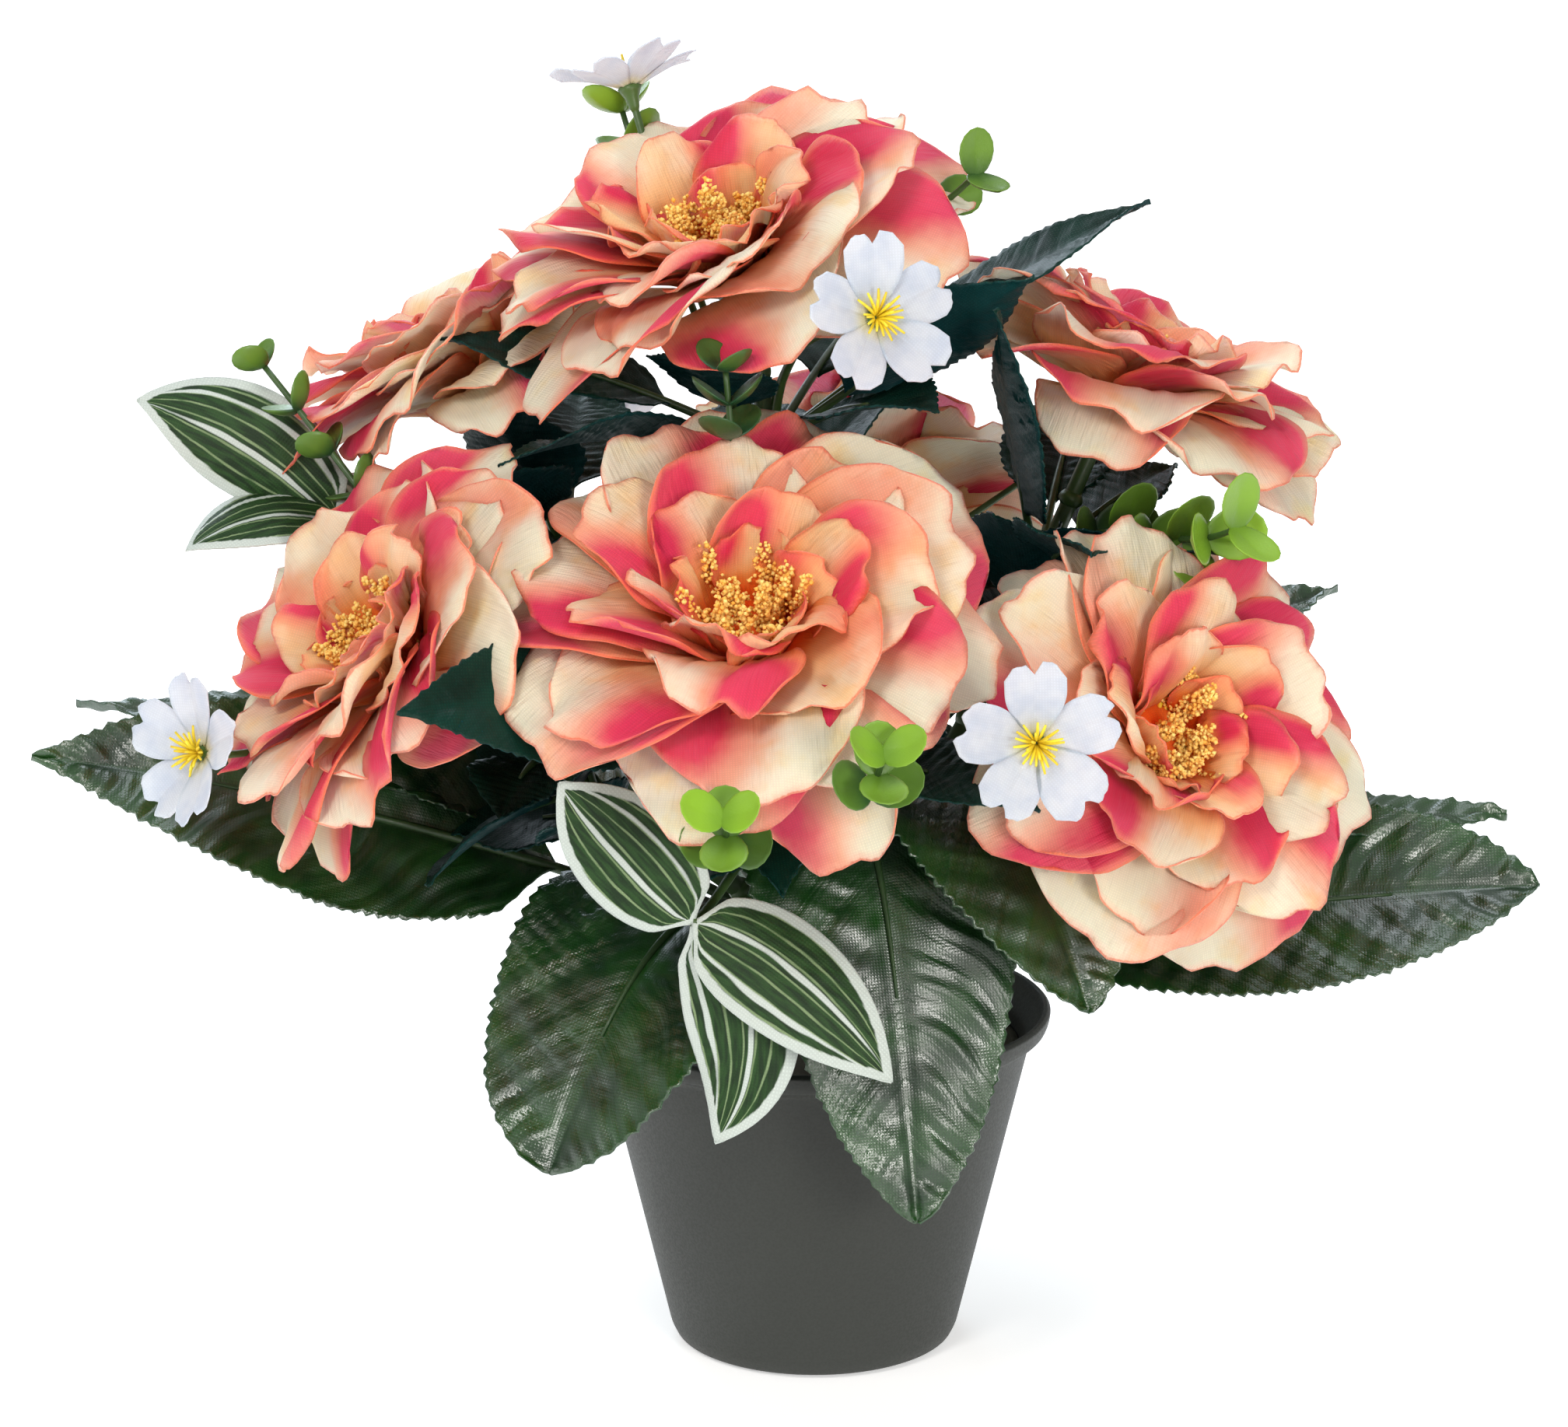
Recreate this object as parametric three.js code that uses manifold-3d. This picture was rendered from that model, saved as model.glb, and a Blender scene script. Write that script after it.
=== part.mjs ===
// An artificial camellia arrangement: seven cloth blooms on a moulded bush, with leaves, small white
// flowers, box sprigs and striped leaves, set in a filled tapered pot. Millimetres, +Z up, and the
// origin is the middle of the pot's underside. Places are given round the pot's axis: an azimuth in
// degrees (0 is the front, -Y, and 90 is +X), the reach from the axis and the height.
import * as THREE from "three";
import { mergeVertices } from "three/addons/utils/BufferGeometryUtils.js";
import Module from "manifold-3d";

const wasm = await Module();
wasm.setup();

// ---- driving dimensions ----

const clearance = 0.3; // between neighbouring nodes
const cutClearance = 0.5; // where one node is cut clear of another, before slivers are merged
const tidyTolerance = 0.08; // for merging the slivers that cutting leaves
const mostTolerance = 0.16;
const leastEdge = 0.002;
const pot = {
  height: 95, footRadius: 39, footRound: 3, shoulderRadius: 59.8, shoulderHeight: 87.5,
  lipRadius: 65, lipHeight: 7, wall: 2, sides: 30,
};
const filling = { bottomGap: 0.3, rimDrop: 11, crown: 3 };
const bush = { footRadius: 8.5, neckRadius: 6, headRadius: 9.5, neckHeight: 100, headHeight: 112, topHeight: 118 };
const branch = { rootRadius: 3, tipRadius: 2.1, sides: 6, steps: 6, forkHeight: 112 };

// A bloom's rings of petals, for a bloom 65 mm in radius. Lean is the angle from the bloom's axis
// at the petal's root and at its tip.
const bloomRadius = 65;
const bloomRings = [
  { count: 1, length: 58, width: 38, lean: [62, 130], rootHeight: 11.5, cells: [3, 2] },
  { count: 6, length: 55, width: 60, lean: [54, 106], rootHeight: 13, cells: [3, 2] },
  { count: 5, length: 41, width: 48, lean: [34, 80], rootHeight: 15, cells: [2, 2] },
  { count: 4, length: 29, width: 35, lean: [14, 50], rootHeight: 17, cells: [1, 2] },
];
const petalRoll = 12; // each petal lies over one neighbour and under the other
const petalRootRadius = 12;
// The middle of a bloom, turned about its axis: calyx, seat of the petals and tuft of stamens.
const bloomCore = { sides: 6, profile: [[7, 7], [15, 11.5], [14, 19], [16, 27], [10, 33]] };
const tuftHeight = 28;
const petalThickness = 1.2;
const leafThickness = 1.3;

// facing is the azimuth and the elevation of the bloom's axis. The place is that of the stamens.
const blooms = [
  { name: "top", place: [-60, 30, 313], facing: [-38, 64], radius: 64, spin: 22, droop: -108, leavesAt: 0.72 },
  { name: "front", place: [-11, 90, 228], facing: [-2, 55], radius: 66, spin: 6, droop: -68, leavesAt: 0.66 },
  { name: "right", place: [57, 113, 187], facing: [34, 26], radius: 60, spin: 25, droop: 110, leavesAt: 0.66 },
  { name: "left", place: [-65, 128, 212], facing: [-60, 38], radius: 59, spin: 15, droop: -126, leavesAt: 0.66 },
  { name: "back_right", place: [107, 91, 271], facing: [100, 66], radius: 60, spin: 40, droop: 164, leavesAt: 0.7 },
  { name: "back_left", place: [-111, 105, 273], facing: [-100, 64], radius: 58, spin: 5, droop: 24, leavesAt: 0.7 },
  { name: "back", place: [172, 108, 214], facing: [174, 40], radius: 60, spin: 30, droop: -100, leavesAt: 0.66 },
];

// Toothed leaves round each branch: place of the tip, the arch of the midrib, the width and the roll.
const upperLeaf = { petiole: 0.3, cells: [3, 2], fold: 0.12, sleeveRadius: 3.9, sleeveLength: 7, stalkRadius: 1.1 };
const upperLeaves = {
  top: [
    { tip: [-64, 92, 254], arch: 12, width: 40, roll: 18 },
    { tip: [-84, 100, 282], arch: 8, width: 32, roll: -20 },
    { tip: [26, 70, 272], arch: 12, width: 34, roll: 10 },
    { tip: [58, 66, 302], arch: 4, width: 36, roll: -35 },
    { tip: [98, 90, 315], arch: 9, width: 32, roll: 8 },
    { tip: [160, 84, 290], arch: 10, width: 36, roll: 0 },
  ],
  front: [
    { tip: [-41, 157, 207], arch: 16, width: 36, roll: -15 },
    { tip: [30, 112, 176], arch: 12, width: 34, roll: 12 },
  ],
  right: [
    { tip: [86, 124, 214], arch: 10, width: 34, roll: 10 },
    { tip: [58, 96, 128], arch: 14, width: 34, roll: 0 },
  ],
  left: [
    { tip: [-92, 128, 190], arch: 12, width: 34, roll: -10 },
    { tip: [-60, 96, 160], arch: 10, width: 32, roll: 0 },
  ],
  back_right: [
    { tip: [43, 68, 296], arch: -10, width: 34, roll: -60 },
    { tip: [84, 62, 214], arch: 6, width: 28, roll: 60 },
    { tip: [140, 120, 250], arch: 10, width: 36, roll: 0 },
  ],
  back_left: [
    { tip: [-78, 92, 244], arch: 8, width: 36, roll: 30 },
    { tip: [-146, 118, 250], arch: 10, width: 36, roll: 0 },
  ],
  back: [
    { tip: [150, 138, 196], arch: 12, width: 36, roll: 0 },
    { tip: [-166, 140, 190], arch: 12, width: 36, roll: 0 },
  ],
};

// The large pleated leaves of the collar. from is the height at which the stalk leaves the bush.
const collarLeaf = { petiole: 0.34, cells: [4, 2], fold: 0.1, stalkRadius: 1.6 };
const collarLeaves = [
  { name: "left", from: 106, tip: [-81, 210, 174], arch: 18, width: 64, roll: -46 },
  { name: "left_upper", from: 112, tip: [-93, 202, 178], arch: 24, width: 48, roll: -10 },
  { name: "front_left", from: 104, tip: [-40, 109, 75], arch: 84, width: 80, roll: -4, blunt: 0.36 },
  { name: "front", from: 106, tip: [17, 90, 62], arch: 150, width: 72, roll: 6, blunt: 0.5 },
  { name: "front_right", from: 112, tip: [42, 106, 117], arch: 112, width: 66, roll: 14, blunt: 0.55 },
  { name: "right", from: 102, tip: [84, 196, 135], arch: 10, width: 60, roll: 42, blunt: 0.6 },
  { name: "right_upper", from: 110, tip: [95, 192, 145], arch: 20, width: 48, roll: 8 },
  { name: "back_right", from: 114, tip: [116, 166, 196], arch: 26, width: 52, roll: 10 },
  { name: "back", from: 104, tip: [152, 172, 128], arch: 50, width: 60, roll: 0 },
  { name: "back_low", from: 106, tip: [-172, 140, 84], arch: 90, width: 64, roll: 0 },
  { name: "back_left", from: 108, tip: [-128, 186, 150], arch: 34, width: 60, roll: 0 },
];

// Small white flowers, each on a wiry stalk that leaves a branch.
const whiteFlower = {
  radius: 21.5, petals: 5, petalWidth: 16, petalRoot: 2.2, cup: 24, stalkRadius: 1, eyeRadius: 4.2, eyeHeight: 8,
};
const whiteFlowers = [
  { name: "top", host: "top", at: 0.45, place: [-125, 61, 342], facing: [-140, 68], bow: 10 },
  { name: "front_top", host: "top", at: 0.62, place: [10, 80, 298], facing: [20, 20], bow: 22 },
  { name: "left", host: "left", at: 0.62, place: [-67, 171, 183], facing: [-44, 16], bow: 16 },
  { name: "front_right", host: "right", at: 0.5, place: [23, 136, 201], facing: [4, 4], bow: 10 },
  { name: "back", host: "back", at: 0.6, place: [140, 132, 246], facing: [146, 40], bow: 14 },
  { name: "back_left", host: "back_left", at: 0.6, place: [-152, 128, 232], facing: [-150, 35], bow: 14 },
];

// Box sprigs: opposite pairs of round leaves, each pair turned a quarter from the last.
const boxLeaf = { length: 13, width: 12, thickness: 1.6, sides: 6, rootLift: 0.2, stalkRadius: 1.1 };
const boxSprigs = [
  { name: "top", host: "top", at: 0.4, tip: [-131, 70, 336], bow: 8, pairs: 2, from: 0.9, size: 1.2 },
  { name: "top_right", host: "top", at: 0.7, tip: [76, 43, 325], bow: 6, pairs: 3, from: 0.5, size: 0.95 },
  { name: "left", host: "left", at: 0.5, tip: [-91, 148, 273], bow: 16, pairs: 4, from: 0.45, size: 1.15 },
  { name: "middle", host: "front", at: 0.7, tip: [-20, 68, 283], bow: 6, pairs: 2, from: 0.7, size: 1 },
  {
    name: "right", host: "back_right", at: 0.62, tip: [67, 118, 238], facing: [40, 30], bow: 12, pairs: 4,
    from: 0.45, size: 1.4,
  },
  { name: "low_front", host: "front", at: 0.35, tip: [-9, 149, 188], facing: [-5, 42], bow: -10, pairs: 3, from: 0.76, size: 1.15 },
  { name: "low_right", host: "front", at: 0.38, tip: [6, 149, 204], facing: [8, 48], bow: -8, pairs: 3, from: 0.8, size: 1.15 },
  { name: "back", host: "back", at: 0.6, tip: [176, 92, 278], bow: 6, pairs: 4, from: 0.4, size: 1 },
  { name: "back_left", host: "back_left", at: 0.5, tip: [-140, 140, 214], bow: 6, pairs: 4, from: 0.4, size: 1 },
];

// Striped leaves in threes, at the end of a stalk. Each leaf has its own tip and the way its face looks,
// lift bows it up and sway to the side.
const stripedLeaf = { width: 30, cells: [3, 2], fold: 0.16, stalkRadius: 1.2, thickness: 1.3 };
const stripedSprigs = [
  { name: "front", host: "front", at: 0.34, knot: [-19, 97, 145], bow: 10, leaves: [
    { tip: [-33, 119, 184], face: [-20, 20], lift: 0 },
    { tip: [9, 119, 111], face: [4, 22], lift: 10 },
    { tip: [-15, 101, 88], face: [-16, 10], lift: 2, sway: 20 },
  ] },
  { name: "left", host: "back_left", at: 0.4, knot: [-92, 128, 230], bow: 6, leaves: [
    { tip: [-92, 182, 262], face: [-50, 35], lift: 14 },
    { tip: [-84, 168, 226], face: [-50, 30], lift: 12 },
    { tip: [-112, 160, 224], face: [-120, 50], lift: 8 },
  ] },
  { name: "back", host: "back", at: 0.45, knot: [158, 120, 168], bow: 6, leaves: [
    { tip: [148, 160, 196], face: [150, 30], lift: 6 },
    { tip: [164, 166, 160], face: [170, 40], lift: 8 },
    { tip: [176, 138, 130], face: [176, 15], lift: 8 },
  ] },
];

const colours = {
  pot: 0x55574f, filling: 0x6b5f4c, stem: 0x2f4a26, petal: 0xefb48e, leaf: 0x1f3d22, collar: 0x24421f,
  white: 0xf0f1f4, box: 0x86b32c, striped: 0x6f8a64,
};

// ---- places and directions ----

const radians = THREE.MathUtils.degToRad;
const up = new THREE.Vector3(0, 0, 1);

const at = ([azimuth, reach, height]) =>
  new THREE.Vector3(reach * Math.sin(radians(azimuth)), -reach * Math.cos(radians(azimuth)), height);

function looking([azimuth, elevation]) {
  const level = Math.cos(radians(elevation));
  return at([azimuth, level, Math.sin(radians(elevation))]);
}

// The same draws for the same seed, so that a bloom keeps its petals.
function seeded(seed) {
  let state = seed;
  return () => {
    state = (state + 0x6d2b79f5) | 0;
    let t = Math.imul(state ^ (state >>> 15), 1 | state);
    t = (t + Math.imul(t ^ (t >>> 7), 61 | t)) ^ t;
    return ((t ^ (t >>> 14)) >>> 0) / 4294967296;
  };
}

// ---- solids ----

function solidOf(geometry) {
  const bare = geometry.clone();
  bare.deleteAttribute("normal");
  bare.deleteAttribute("uv");
  const merged = mergeVertices(bare, 1e-4);
  return new wasm.Manifold(new wasm.Mesh({
    numProp: 3,
    vertProperties: new Float32Array(merged.attributes.position.array),
    triVerts: new Uint32Array(merged.index.array),
  }));
}

// A limb is a cylinder bent along a curve, tapering from one radius to the other.
function limb(curve, fromRadius, toRadius, { sides = 6, steps = 5 } = {}) {
  return (grow) => {
    const geometry = new THREE.CylinderGeometry(1, 1, 1, sides, steps);
    const frames = curve.computeFrenetFrames(steps);
    const p = geometry.attributes.position;
    for (let i = 0; i < p.count; i++) {
      const share = p.getY(i) + 0.5;
      const step = Math.round(share * steps);
      const radius = THREE.MathUtils.lerp(fromRadius, toRadius, share) + grow;
      const end = step === 0 ? -grow : step === steps ? grow : 0;
      const point = curve.getPointAt(share)
        .addScaledVector(frames.tangents[step], end)
        .addScaledVector(frames.normals[step], p.getX(i) * radius)
        .addScaledVector(frames.binormals[step], -p.getZ(i) * radius);
      p.setXYZ(i, point.x, point.y, point.z);
    }
    return solidOf(geometry);
  };
}

// A blade is a thin box bent along a spine, which gives a point, the way along and the way its face
// looks. The half width follows the outline, and dish lifts the edges towards the face.
function blade({ spine, outline, dish = 0, notch = 0, thickness, cells }) {
  const [lengthCells, widthCells] = cells;
  return (grow) => {
    const geometry = new THREE.BoxGeometry(1, 2, 2, lengthCells, widthCells, 1);
    const p = geometry.attributes.position;
    for (let i = 0; i < p.count; i++) {
      const u = p.getX(i) + 0.5;
      const v = p.getY(i);
      const side = p.getZ(i);
      const { point, along, face } = spine(u * (1 - notch * (1 - Math.abs(v)) * u));
      const across = new THREE.Vector3().crossVectors(face, along).normalize();
      const halfWidth = outline(u);
      const end = u === 0 ? -grow : u === 1 ? grow : 0;
      point
        .addScaledVector(along, end)
        .addScaledVector(across, v * (halfWidth + grow))
        .addScaledVector(face, dish * v * v * halfWidth + side * (thickness / 2 + grow));
      p.setXYZ(i, point.x, point.y, point.z);
    }
    return solidOf(geometry);
  };
}

// The spine of a leaf: a curve, from a share of it to its end, with its face turned by roll about it.
function leafSpine(curve, from, faceHint, roll) {
  return (u) => {
    const share = from + (1 - from) * u;
    const along = curve.getTangent(share);
    const face = faceHint.clone().addScaledVector(along, -faceHint.dot(along)).normalize();
    face.applyAxisAngle(along, radians(roll));
    return { point: curve.getPoint(share), along, face };
  };
}

const leafOutline = (width, bluntness) => (u) =>
  Math.max(1.2, (width / 2) * Math.pow(Math.sin(Math.PI * Math.pow(u * 0.93 + 0.03, 0.8)), bluntness));

const petalOutline = (width) => (u) =>
  (width / 2) * (0.2 + 0.8 * Math.min(1, u / 0.62)) * (1 - 0.36 * Math.pow(u, 5));

const arched = (root, tip, arch) =>
  new THREE.QuadraticBezierCurve3(root, root.clone().add(tip).multiplyScalar(0.5).addScaledVector(up, arch), tip);

// ---- nodes ----

const arrangement = new THREE.Group();
arrangement.name = "artificial_camellia";
const placed = [];

function overlaps(a, b) {
  const boxA = a.boundingBox();
  const boxB = b.boundingBox();
  return [0, 1, 2].every((k) => boxA.min[k] < boxB.max[k] && boxB.min[k] < boxA.max[k]);
}

function shortestEdge(solid) {
  const { vertProperties, triVerts } = solid.getMesh();
  const corner = (i) => new THREE.Vector3().fromArray(vertProperties, triVerts[i] * 3);
  let shortest = Infinity;
  for (let i = 0; i < triVerts.length; i++) {
    const next = i % 3 === 2 ? i - 2 : i + 1;
    shortest = Math.min(shortest, corner(i).distanceTo(corner(next)));
  }
  return shortest;
}

const largestBody = (solid) => solid.decompose().sort((a, b) => b.volume() - a.volume())[0];

// Keeps the largest body and merges its slivers, more of them until no edge is shorter than allowed.
function tidied(solid) {
  const body = largestBody(solid).asOriginal();
  let tolerance = tidyTolerance;
  let tidy = largestBody(body.simplify(tolerance));
  while (shortestEdge(tidy) < leastEdge && tolerance < mostTolerance) {
    tolerance *= 1.3;
    tidy = largestBody(body.simplify(tolerance));
  }
  return tidy;
}

// Fuses the pieces, cuts them clear of every node made before, drops loose scraps and adds the mesh.
function addNode(name, pieces, look, anchor = new THREE.Vector3()) {
  const fused = wasm.Manifold.union(pieces.map((piece) => piece(0)));
  let solid = fused;
  for (const other of placed) {
    if (overlaps(solid, other.tool)) solid = solid.subtract(other.tool);
  }
  const kept = tidied(solid);
  placed.push({ name, tool: wasm.Manifold.union(pieces.map((piece) => piece(cutClearance))) });

  const made = kept.getMesh();
  const geometry = new THREE.BufferGeometry()
    .setAttribute("position", new THREE.BufferAttribute(new Float32Array(made.vertProperties), 3))
    .setIndex(new THREE.BufferAttribute(new Uint32Array(made.triVerts), 1))
    .translate(-anchor.x, -anchor.y, -anchor.z);
  geometry.computeVertexNormals();
  const mesh = new THREE.Mesh(geometry, new THREE.MeshStandardMaterial(look));
  mesh.name = name;
  mesh.position.copy(anchor);
  arrangement.add(mesh);
}

// ---- pot, filling and bush ----

const latheOf = (profile, sides) =>
  new THREE.LatheGeometry(profile.map(([r, z]) => new THREE.Vector2(r, z)), sides).rotateX(Math.PI / 2);
const turned = (profile, sides) => () => solidOf(latheOf(profile, sides));

const wallSlope = (pot.shoulderRadius - pot.footRadius) / pot.shoulderHeight;
const innerRadius = (z) => pot.footRadius + wallSlope * z - pot.wall;

function addPot() {
  const lipFoot = pot.height - pot.lipHeight;
  const profile = [
    [0, 0],
    [pot.footRadius - pot.footRound, 0],
    [pot.footRadius, pot.footRound],
    [pot.shoulderRadius, pot.shoulderHeight],
    [pot.lipRadius - 0.8, lipFoot + 1.5],
    [pot.lipRadius, pot.height - 1],
    [pot.lipRadius - 1, pot.height],
    [pot.lipRadius - pot.wall, pot.height],
    [pot.lipRadius - pot.wall - 1.6, pot.height - 3],
    [innerRadius(pot.shoulderHeight), pot.shoulderHeight],
    [innerRadius(pot.wall), pot.wall],
    [0, pot.wall],
  ];
  addNode("pot", [turned(profile, pot.sides)], { color: colours.pot, roughness: 0.55, metalness: 0 });
}

function addFilling() {
  const bottom = pot.wall + filling.bottomGap;
  const top = pot.height - filling.rimDrop;
  const profile = (grow) => [
    [0, bottom - grow],
    [innerRadius(bottom) - clearance + grow, bottom - grow],
    [innerRadius(top) - clearance + grow, top],
    [innerRadius(top) * 0.55, top + filling.crown * 0.8 + grow],
    [0, top + filling.crown + grow],
  ];
  const solid = (grow) => turned(profile(grow), pot.sides)();
  addNode("pot_filling", [solid], { color: colours.filling, roughness: 0.95, metalness: 0 });
}

// The short stem stands on the filling and ends in the head that the branches leave.
function addMainStem() {
  const foot = pot.height - filling.rimDrop + filling.crown - 0.5;
  const profile = (grow) => [
    [0, foot],
    [bush.footRadius + grow, foot],
    [bush.neckRadius + grow, bush.neckHeight],
    [bush.headRadius + grow, bush.headHeight - 4],
    [bush.headRadius + grow, bush.headHeight + 2],
    [bush.neckRadius, bush.topHeight + grow],
    [0, bush.topHeight + grow],
  ];
  const solid = (grow) => turned(profile(grow), 12)();
  addNode("main_stem", [solid], { color: colours.stem, roughness: 0.6, metalness: 0 }, new THREE.Vector3(0, 0, foot));
}

// Where a bloom stands, the way it looks, and the curve of the branch that carries it.
for (const bloom of blooms) {
  bloom.axis = looking(bloom.facing);
  bloom.foot = at(bloom.place).addScaledVector(bloom.axis, -tuftHeight * (bloom.radius / bloomRadius));
  const away = looking([bloom.place[0], bloom.name === "top" ? 80 : 40]);
  const root = new THREE.Vector3(0, 0, branch.forkHeight);
  const tip = bloom.foot.clone().addScaledVector(bloom.axis, -clearance);
  bloom.branch = new THREE.CubicBezierCurve3(
    root, root.clone().addScaledVector(away, 45), tip.clone().addScaledVector(bloom.axis, -30), tip);
}

const hosts = Object.fromEntries(blooms.map((bloom) => [bloom.name, bloom.branch]));

function addBranch(bloom) {
  addNode(`branch_${bloom.name}`, [limb(bloom.branch, branch.rootRadius, branch.tipRadius, branch)],
    { color: colours.stem, roughness: 0.6, metalness: 0 }, bloom.branch.getPoint(0));
}

// ---- blooms ----

// A petal's spine leans from the bloom's axis more and more towards its tip.
function petalSpine(bloom, turn, ring, length, lean) {
  const side = new THREE.Vector3().crossVectors(up, bloom.axis).normalize();
  const radial = side.applyAxisAngle(bloom.axis, turn);
  const root = bloom.foot.clone()
    .addScaledVector(bloom.axis, ring.rootHeight * bloom.scale)
    .addScaledVector(radial, petalRootRadius * bloom.scale);
  const [from, to] = lean;
  const bend = to - from;
  const rolled = radians(petalRoll);
  return (u) => {
    const angle = from + bend * u;
    const out = (length * (Math.cos(from) - Math.cos(angle))) / bend;
    const rise = (length * (Math.sin(angle) - Math.sin(from))) / bend;
    const point = root.clone().addScaledVector(radial, out).addScaledVector(bloom.axis, rise);
    const along = radial.clone().multiplyScalar(Math.sin(angle)).addScaledVector(bloom.axis, Math.cos(angle));
    const face = bloom.axis.clone().multiplyScalar(Math.sin(angle)).addScaledVector(radial, -Math.cos(angle));
    return { point, along, face: face.applyAxisAngle(along, rolled) };
  };
}

function petalsOf(bloom, seed) {
  const draw = seeded(seed);
  const spread = (amount) => (draw() - 0.5) * 2 * amount;
  const petals = [];
  bloomRings.forEach((ring, level) => {
    for (let k = 0; k < ring.count; k++) {
      const start = ring.count === 1 ? bloom.droop : bloom.spin + level * 33;
      const turn = radians(start) + (2 * Math.PI * (k + spread(0.06))) / ring.count;
      const length = ring.length * bloom.scale * (1 + spread(0.07));
      const width = ring.width * bloom.scale * (1 + spread(0.1));
      const sway = spread(3);
      const lean = ring.lean.map((angle) => radians(angle + sway));
      petals.push(blade({
        spine: petalSpine(bloom, turn, ring, length, lean), outline: petalOutline(width),
        dish: 0.1, thickness: petalThickness, cells: ring.cells,
      }));
    }
  });
  return petals;
}

function addBloom(bloom, index) {
  bloom.scale = bloom.radius / bloomRadius;
  const toAxis = new THREE.Quaternion().setFromUnitVectors(up, bloom.axis);
  const core = (grow) => {
    const rings = bloomCore.profile.map(([r, z]) => [r * bloom.scale + grow, z * bloom.scale]);
    const top = rings.at(-1)[1] + 2;
    const profile = [[0, -grow], [branch.tipRadius + grow, -grow], ...rings, [0, top + grow]];
    const geometry = latheOf(profile, bloomCore.sides).applyQuaternion(toAxis);
    return solidOf(geometry.translate(bloom.foot.x, bloom.foot.y, bloom.foot.z));
  };
  addNode(`bloom_${bloom.name}`, [core, ...petalsOf(bloom, 101 + index)],
    { color: colours.petal, roughness: 0.85, metalness: 0 }, bloom.foot);
}

// ---- leaves ----

function addUpperLeaves(bloom) {
  const share = bloom.leavesAt;
  const middle = bloom.branch.getPoint(share);
  const along = bloom.branch.getTangent(share);
  const half = upperLeaf.sleeveLength / 2;
  const sleeve = limb(new THREE.LineCurve3(middle.clone().addScaledVector(along, -half),
    middle.clone().addScaledVector(along, half)), upperLeaf.sleeveRadius, upperLeaf.sleeveRadius, { steps: 1 });
  const pieces = [sleeve];
  for (const leaf of upperLeaves[bloom.name]) {
    const curve = arched(middle, at(leaf.tip), leaf.arch);
    const stalkEnd = upperLeaf.petiole + 0.05;
    const stalk = new THREE.CatmullRomCurve3([0, stalkEnd / 2, stalkEnd].map((t) => curve.getPoint(t)));
    pieces.push(limb(stalk, upperLeaf.stalkRadius * 1.3, upperLeaf.stalkRadius, { sides: 4, steps: 1 }));
    pieces.push(blade({
      spine: leafSpine(curve, upperLeaf.petiole, up, leaf.roll), outline: leafOutline(leaf.width, 0.75),
      dish: upperLeaf.fold, thickness: leafThickness, cells: upperLeaf.cells,
    }));
  }
  addNode(`leaves_${bloom.name}`, pieces, { color: colours.leaf, roughness: 0.7, metalness: 0 }, middle);
}

function addCollarLeaf(leaf) {
  const root = new THREE.Vector3(0, 0, leaf.from);
  const curve = arched(root, at(leaf.tip), leaf.arch);
  const stalkEnd = collarLeaf.petiole + 0.05;
  const stalk = new THREE.CatmullRomCurve3([0, stalkEnd / 2, stalkEnd].map((t) => curve.getPoint(t)));
  addNode(`collar_leaf_${leaf.name}`, [
    limb(stalk, collarLeaf.stalkRadius, collarLeaf.stalkRadius, { sides: 5, steps: 3 }),
    blade({
      spine: leafSpine(curve, collarLeaf.petiole, up, leaf.roll), outline: leafOutline(leaf.width, leaf.blunt ?? 0.7),
      dish: collarLeaf.fold, thickness: leafThickness, cells: collarLeaf.cells,
    }),
  ], { color: colours.collar, roughness: 0.45, metalness: 0 }, curve.getPoint(collarLeaf.petiole));
}

// ---- small flowers and sprigs ----

// A stalk leaves its branch along it and bows up before it turns to its end.
function stalkCurve({ host, at: share, bow }, end, endWay) {
  const root = hosts[host].getPoint(share);
  const way = hosts[host].getTangent(share);
  const reach = root.distanceTo(end);
  return new THREE.CubicBezierCurve3(root, root.clone().addScaledVector(way, reach * 0.35).addScaledVector(up, bow),
    end.clone().addScaledVector(endWay, -reach * 0.35), end);
}

function addWhiteFlower(flower) {
  const axis = looking(flower.facing);
  const centre = at(flower.place);
  const curve = stalkCurve(flower, centre, axis);
  const side = new THREE.Vector3().crossVectors(up, axis).normalize();
  const root = whiteFlower.petalRoot;
  const pieces = [limb(curve, whiteFlower.stalkRadius * 1.3, whiteFlower.stalkRadius, { sides: 5, steps: 4 })];
  const eye = new THREE.LineCurve3(centre.clone().addScaledVector(axis, -2.5),
    centre.clone().addScaledVector(axis, whiteFlower.eyeHeight));
  pieces.push(limb(eye, whiteFlower.eyeRadius, whiteFlower.eyeRadius, { sides: 6, steps: 1 }));
  for (let k = 0; k < whiteFlower.petals; k++) {
    const radial = side.clone().applyAxisAngle(axis, (2 * Math.PI * (k + 0.3)) / whiteFlower.petals);
    const cup = radians(whiteFlower.cup);
    const along = radial.clone().multiplyScalar(Math.cos(cup)).addScaledVector(axis, Math.sin(cup));
    const face = axis.clone().multiplyScalar(Math.cos(cup)).addScaledVector(radial, -Math.sin(cup));
    const length = whiteFlower.radius / Math.cos(cup);
    pieces.push(blade({
      spine: (u) => ({ point: centre.clone().addScaledVector(along, THREE.MathUtils.lerp(root, length, u)), along, face }),
      outline: (u) => (whiteFlower.petalWidth / 2) * (0.2 + 0.8 * u),
      notch: 0.1, dish: 0.1, thickness: 1, cells: [1, 2],
    }));
  }
  addNode(`white_flower_${flower.name}`, pieces, { color: colours.white, roughness: 0.8, metalness: 0 }, centre);
}

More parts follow.
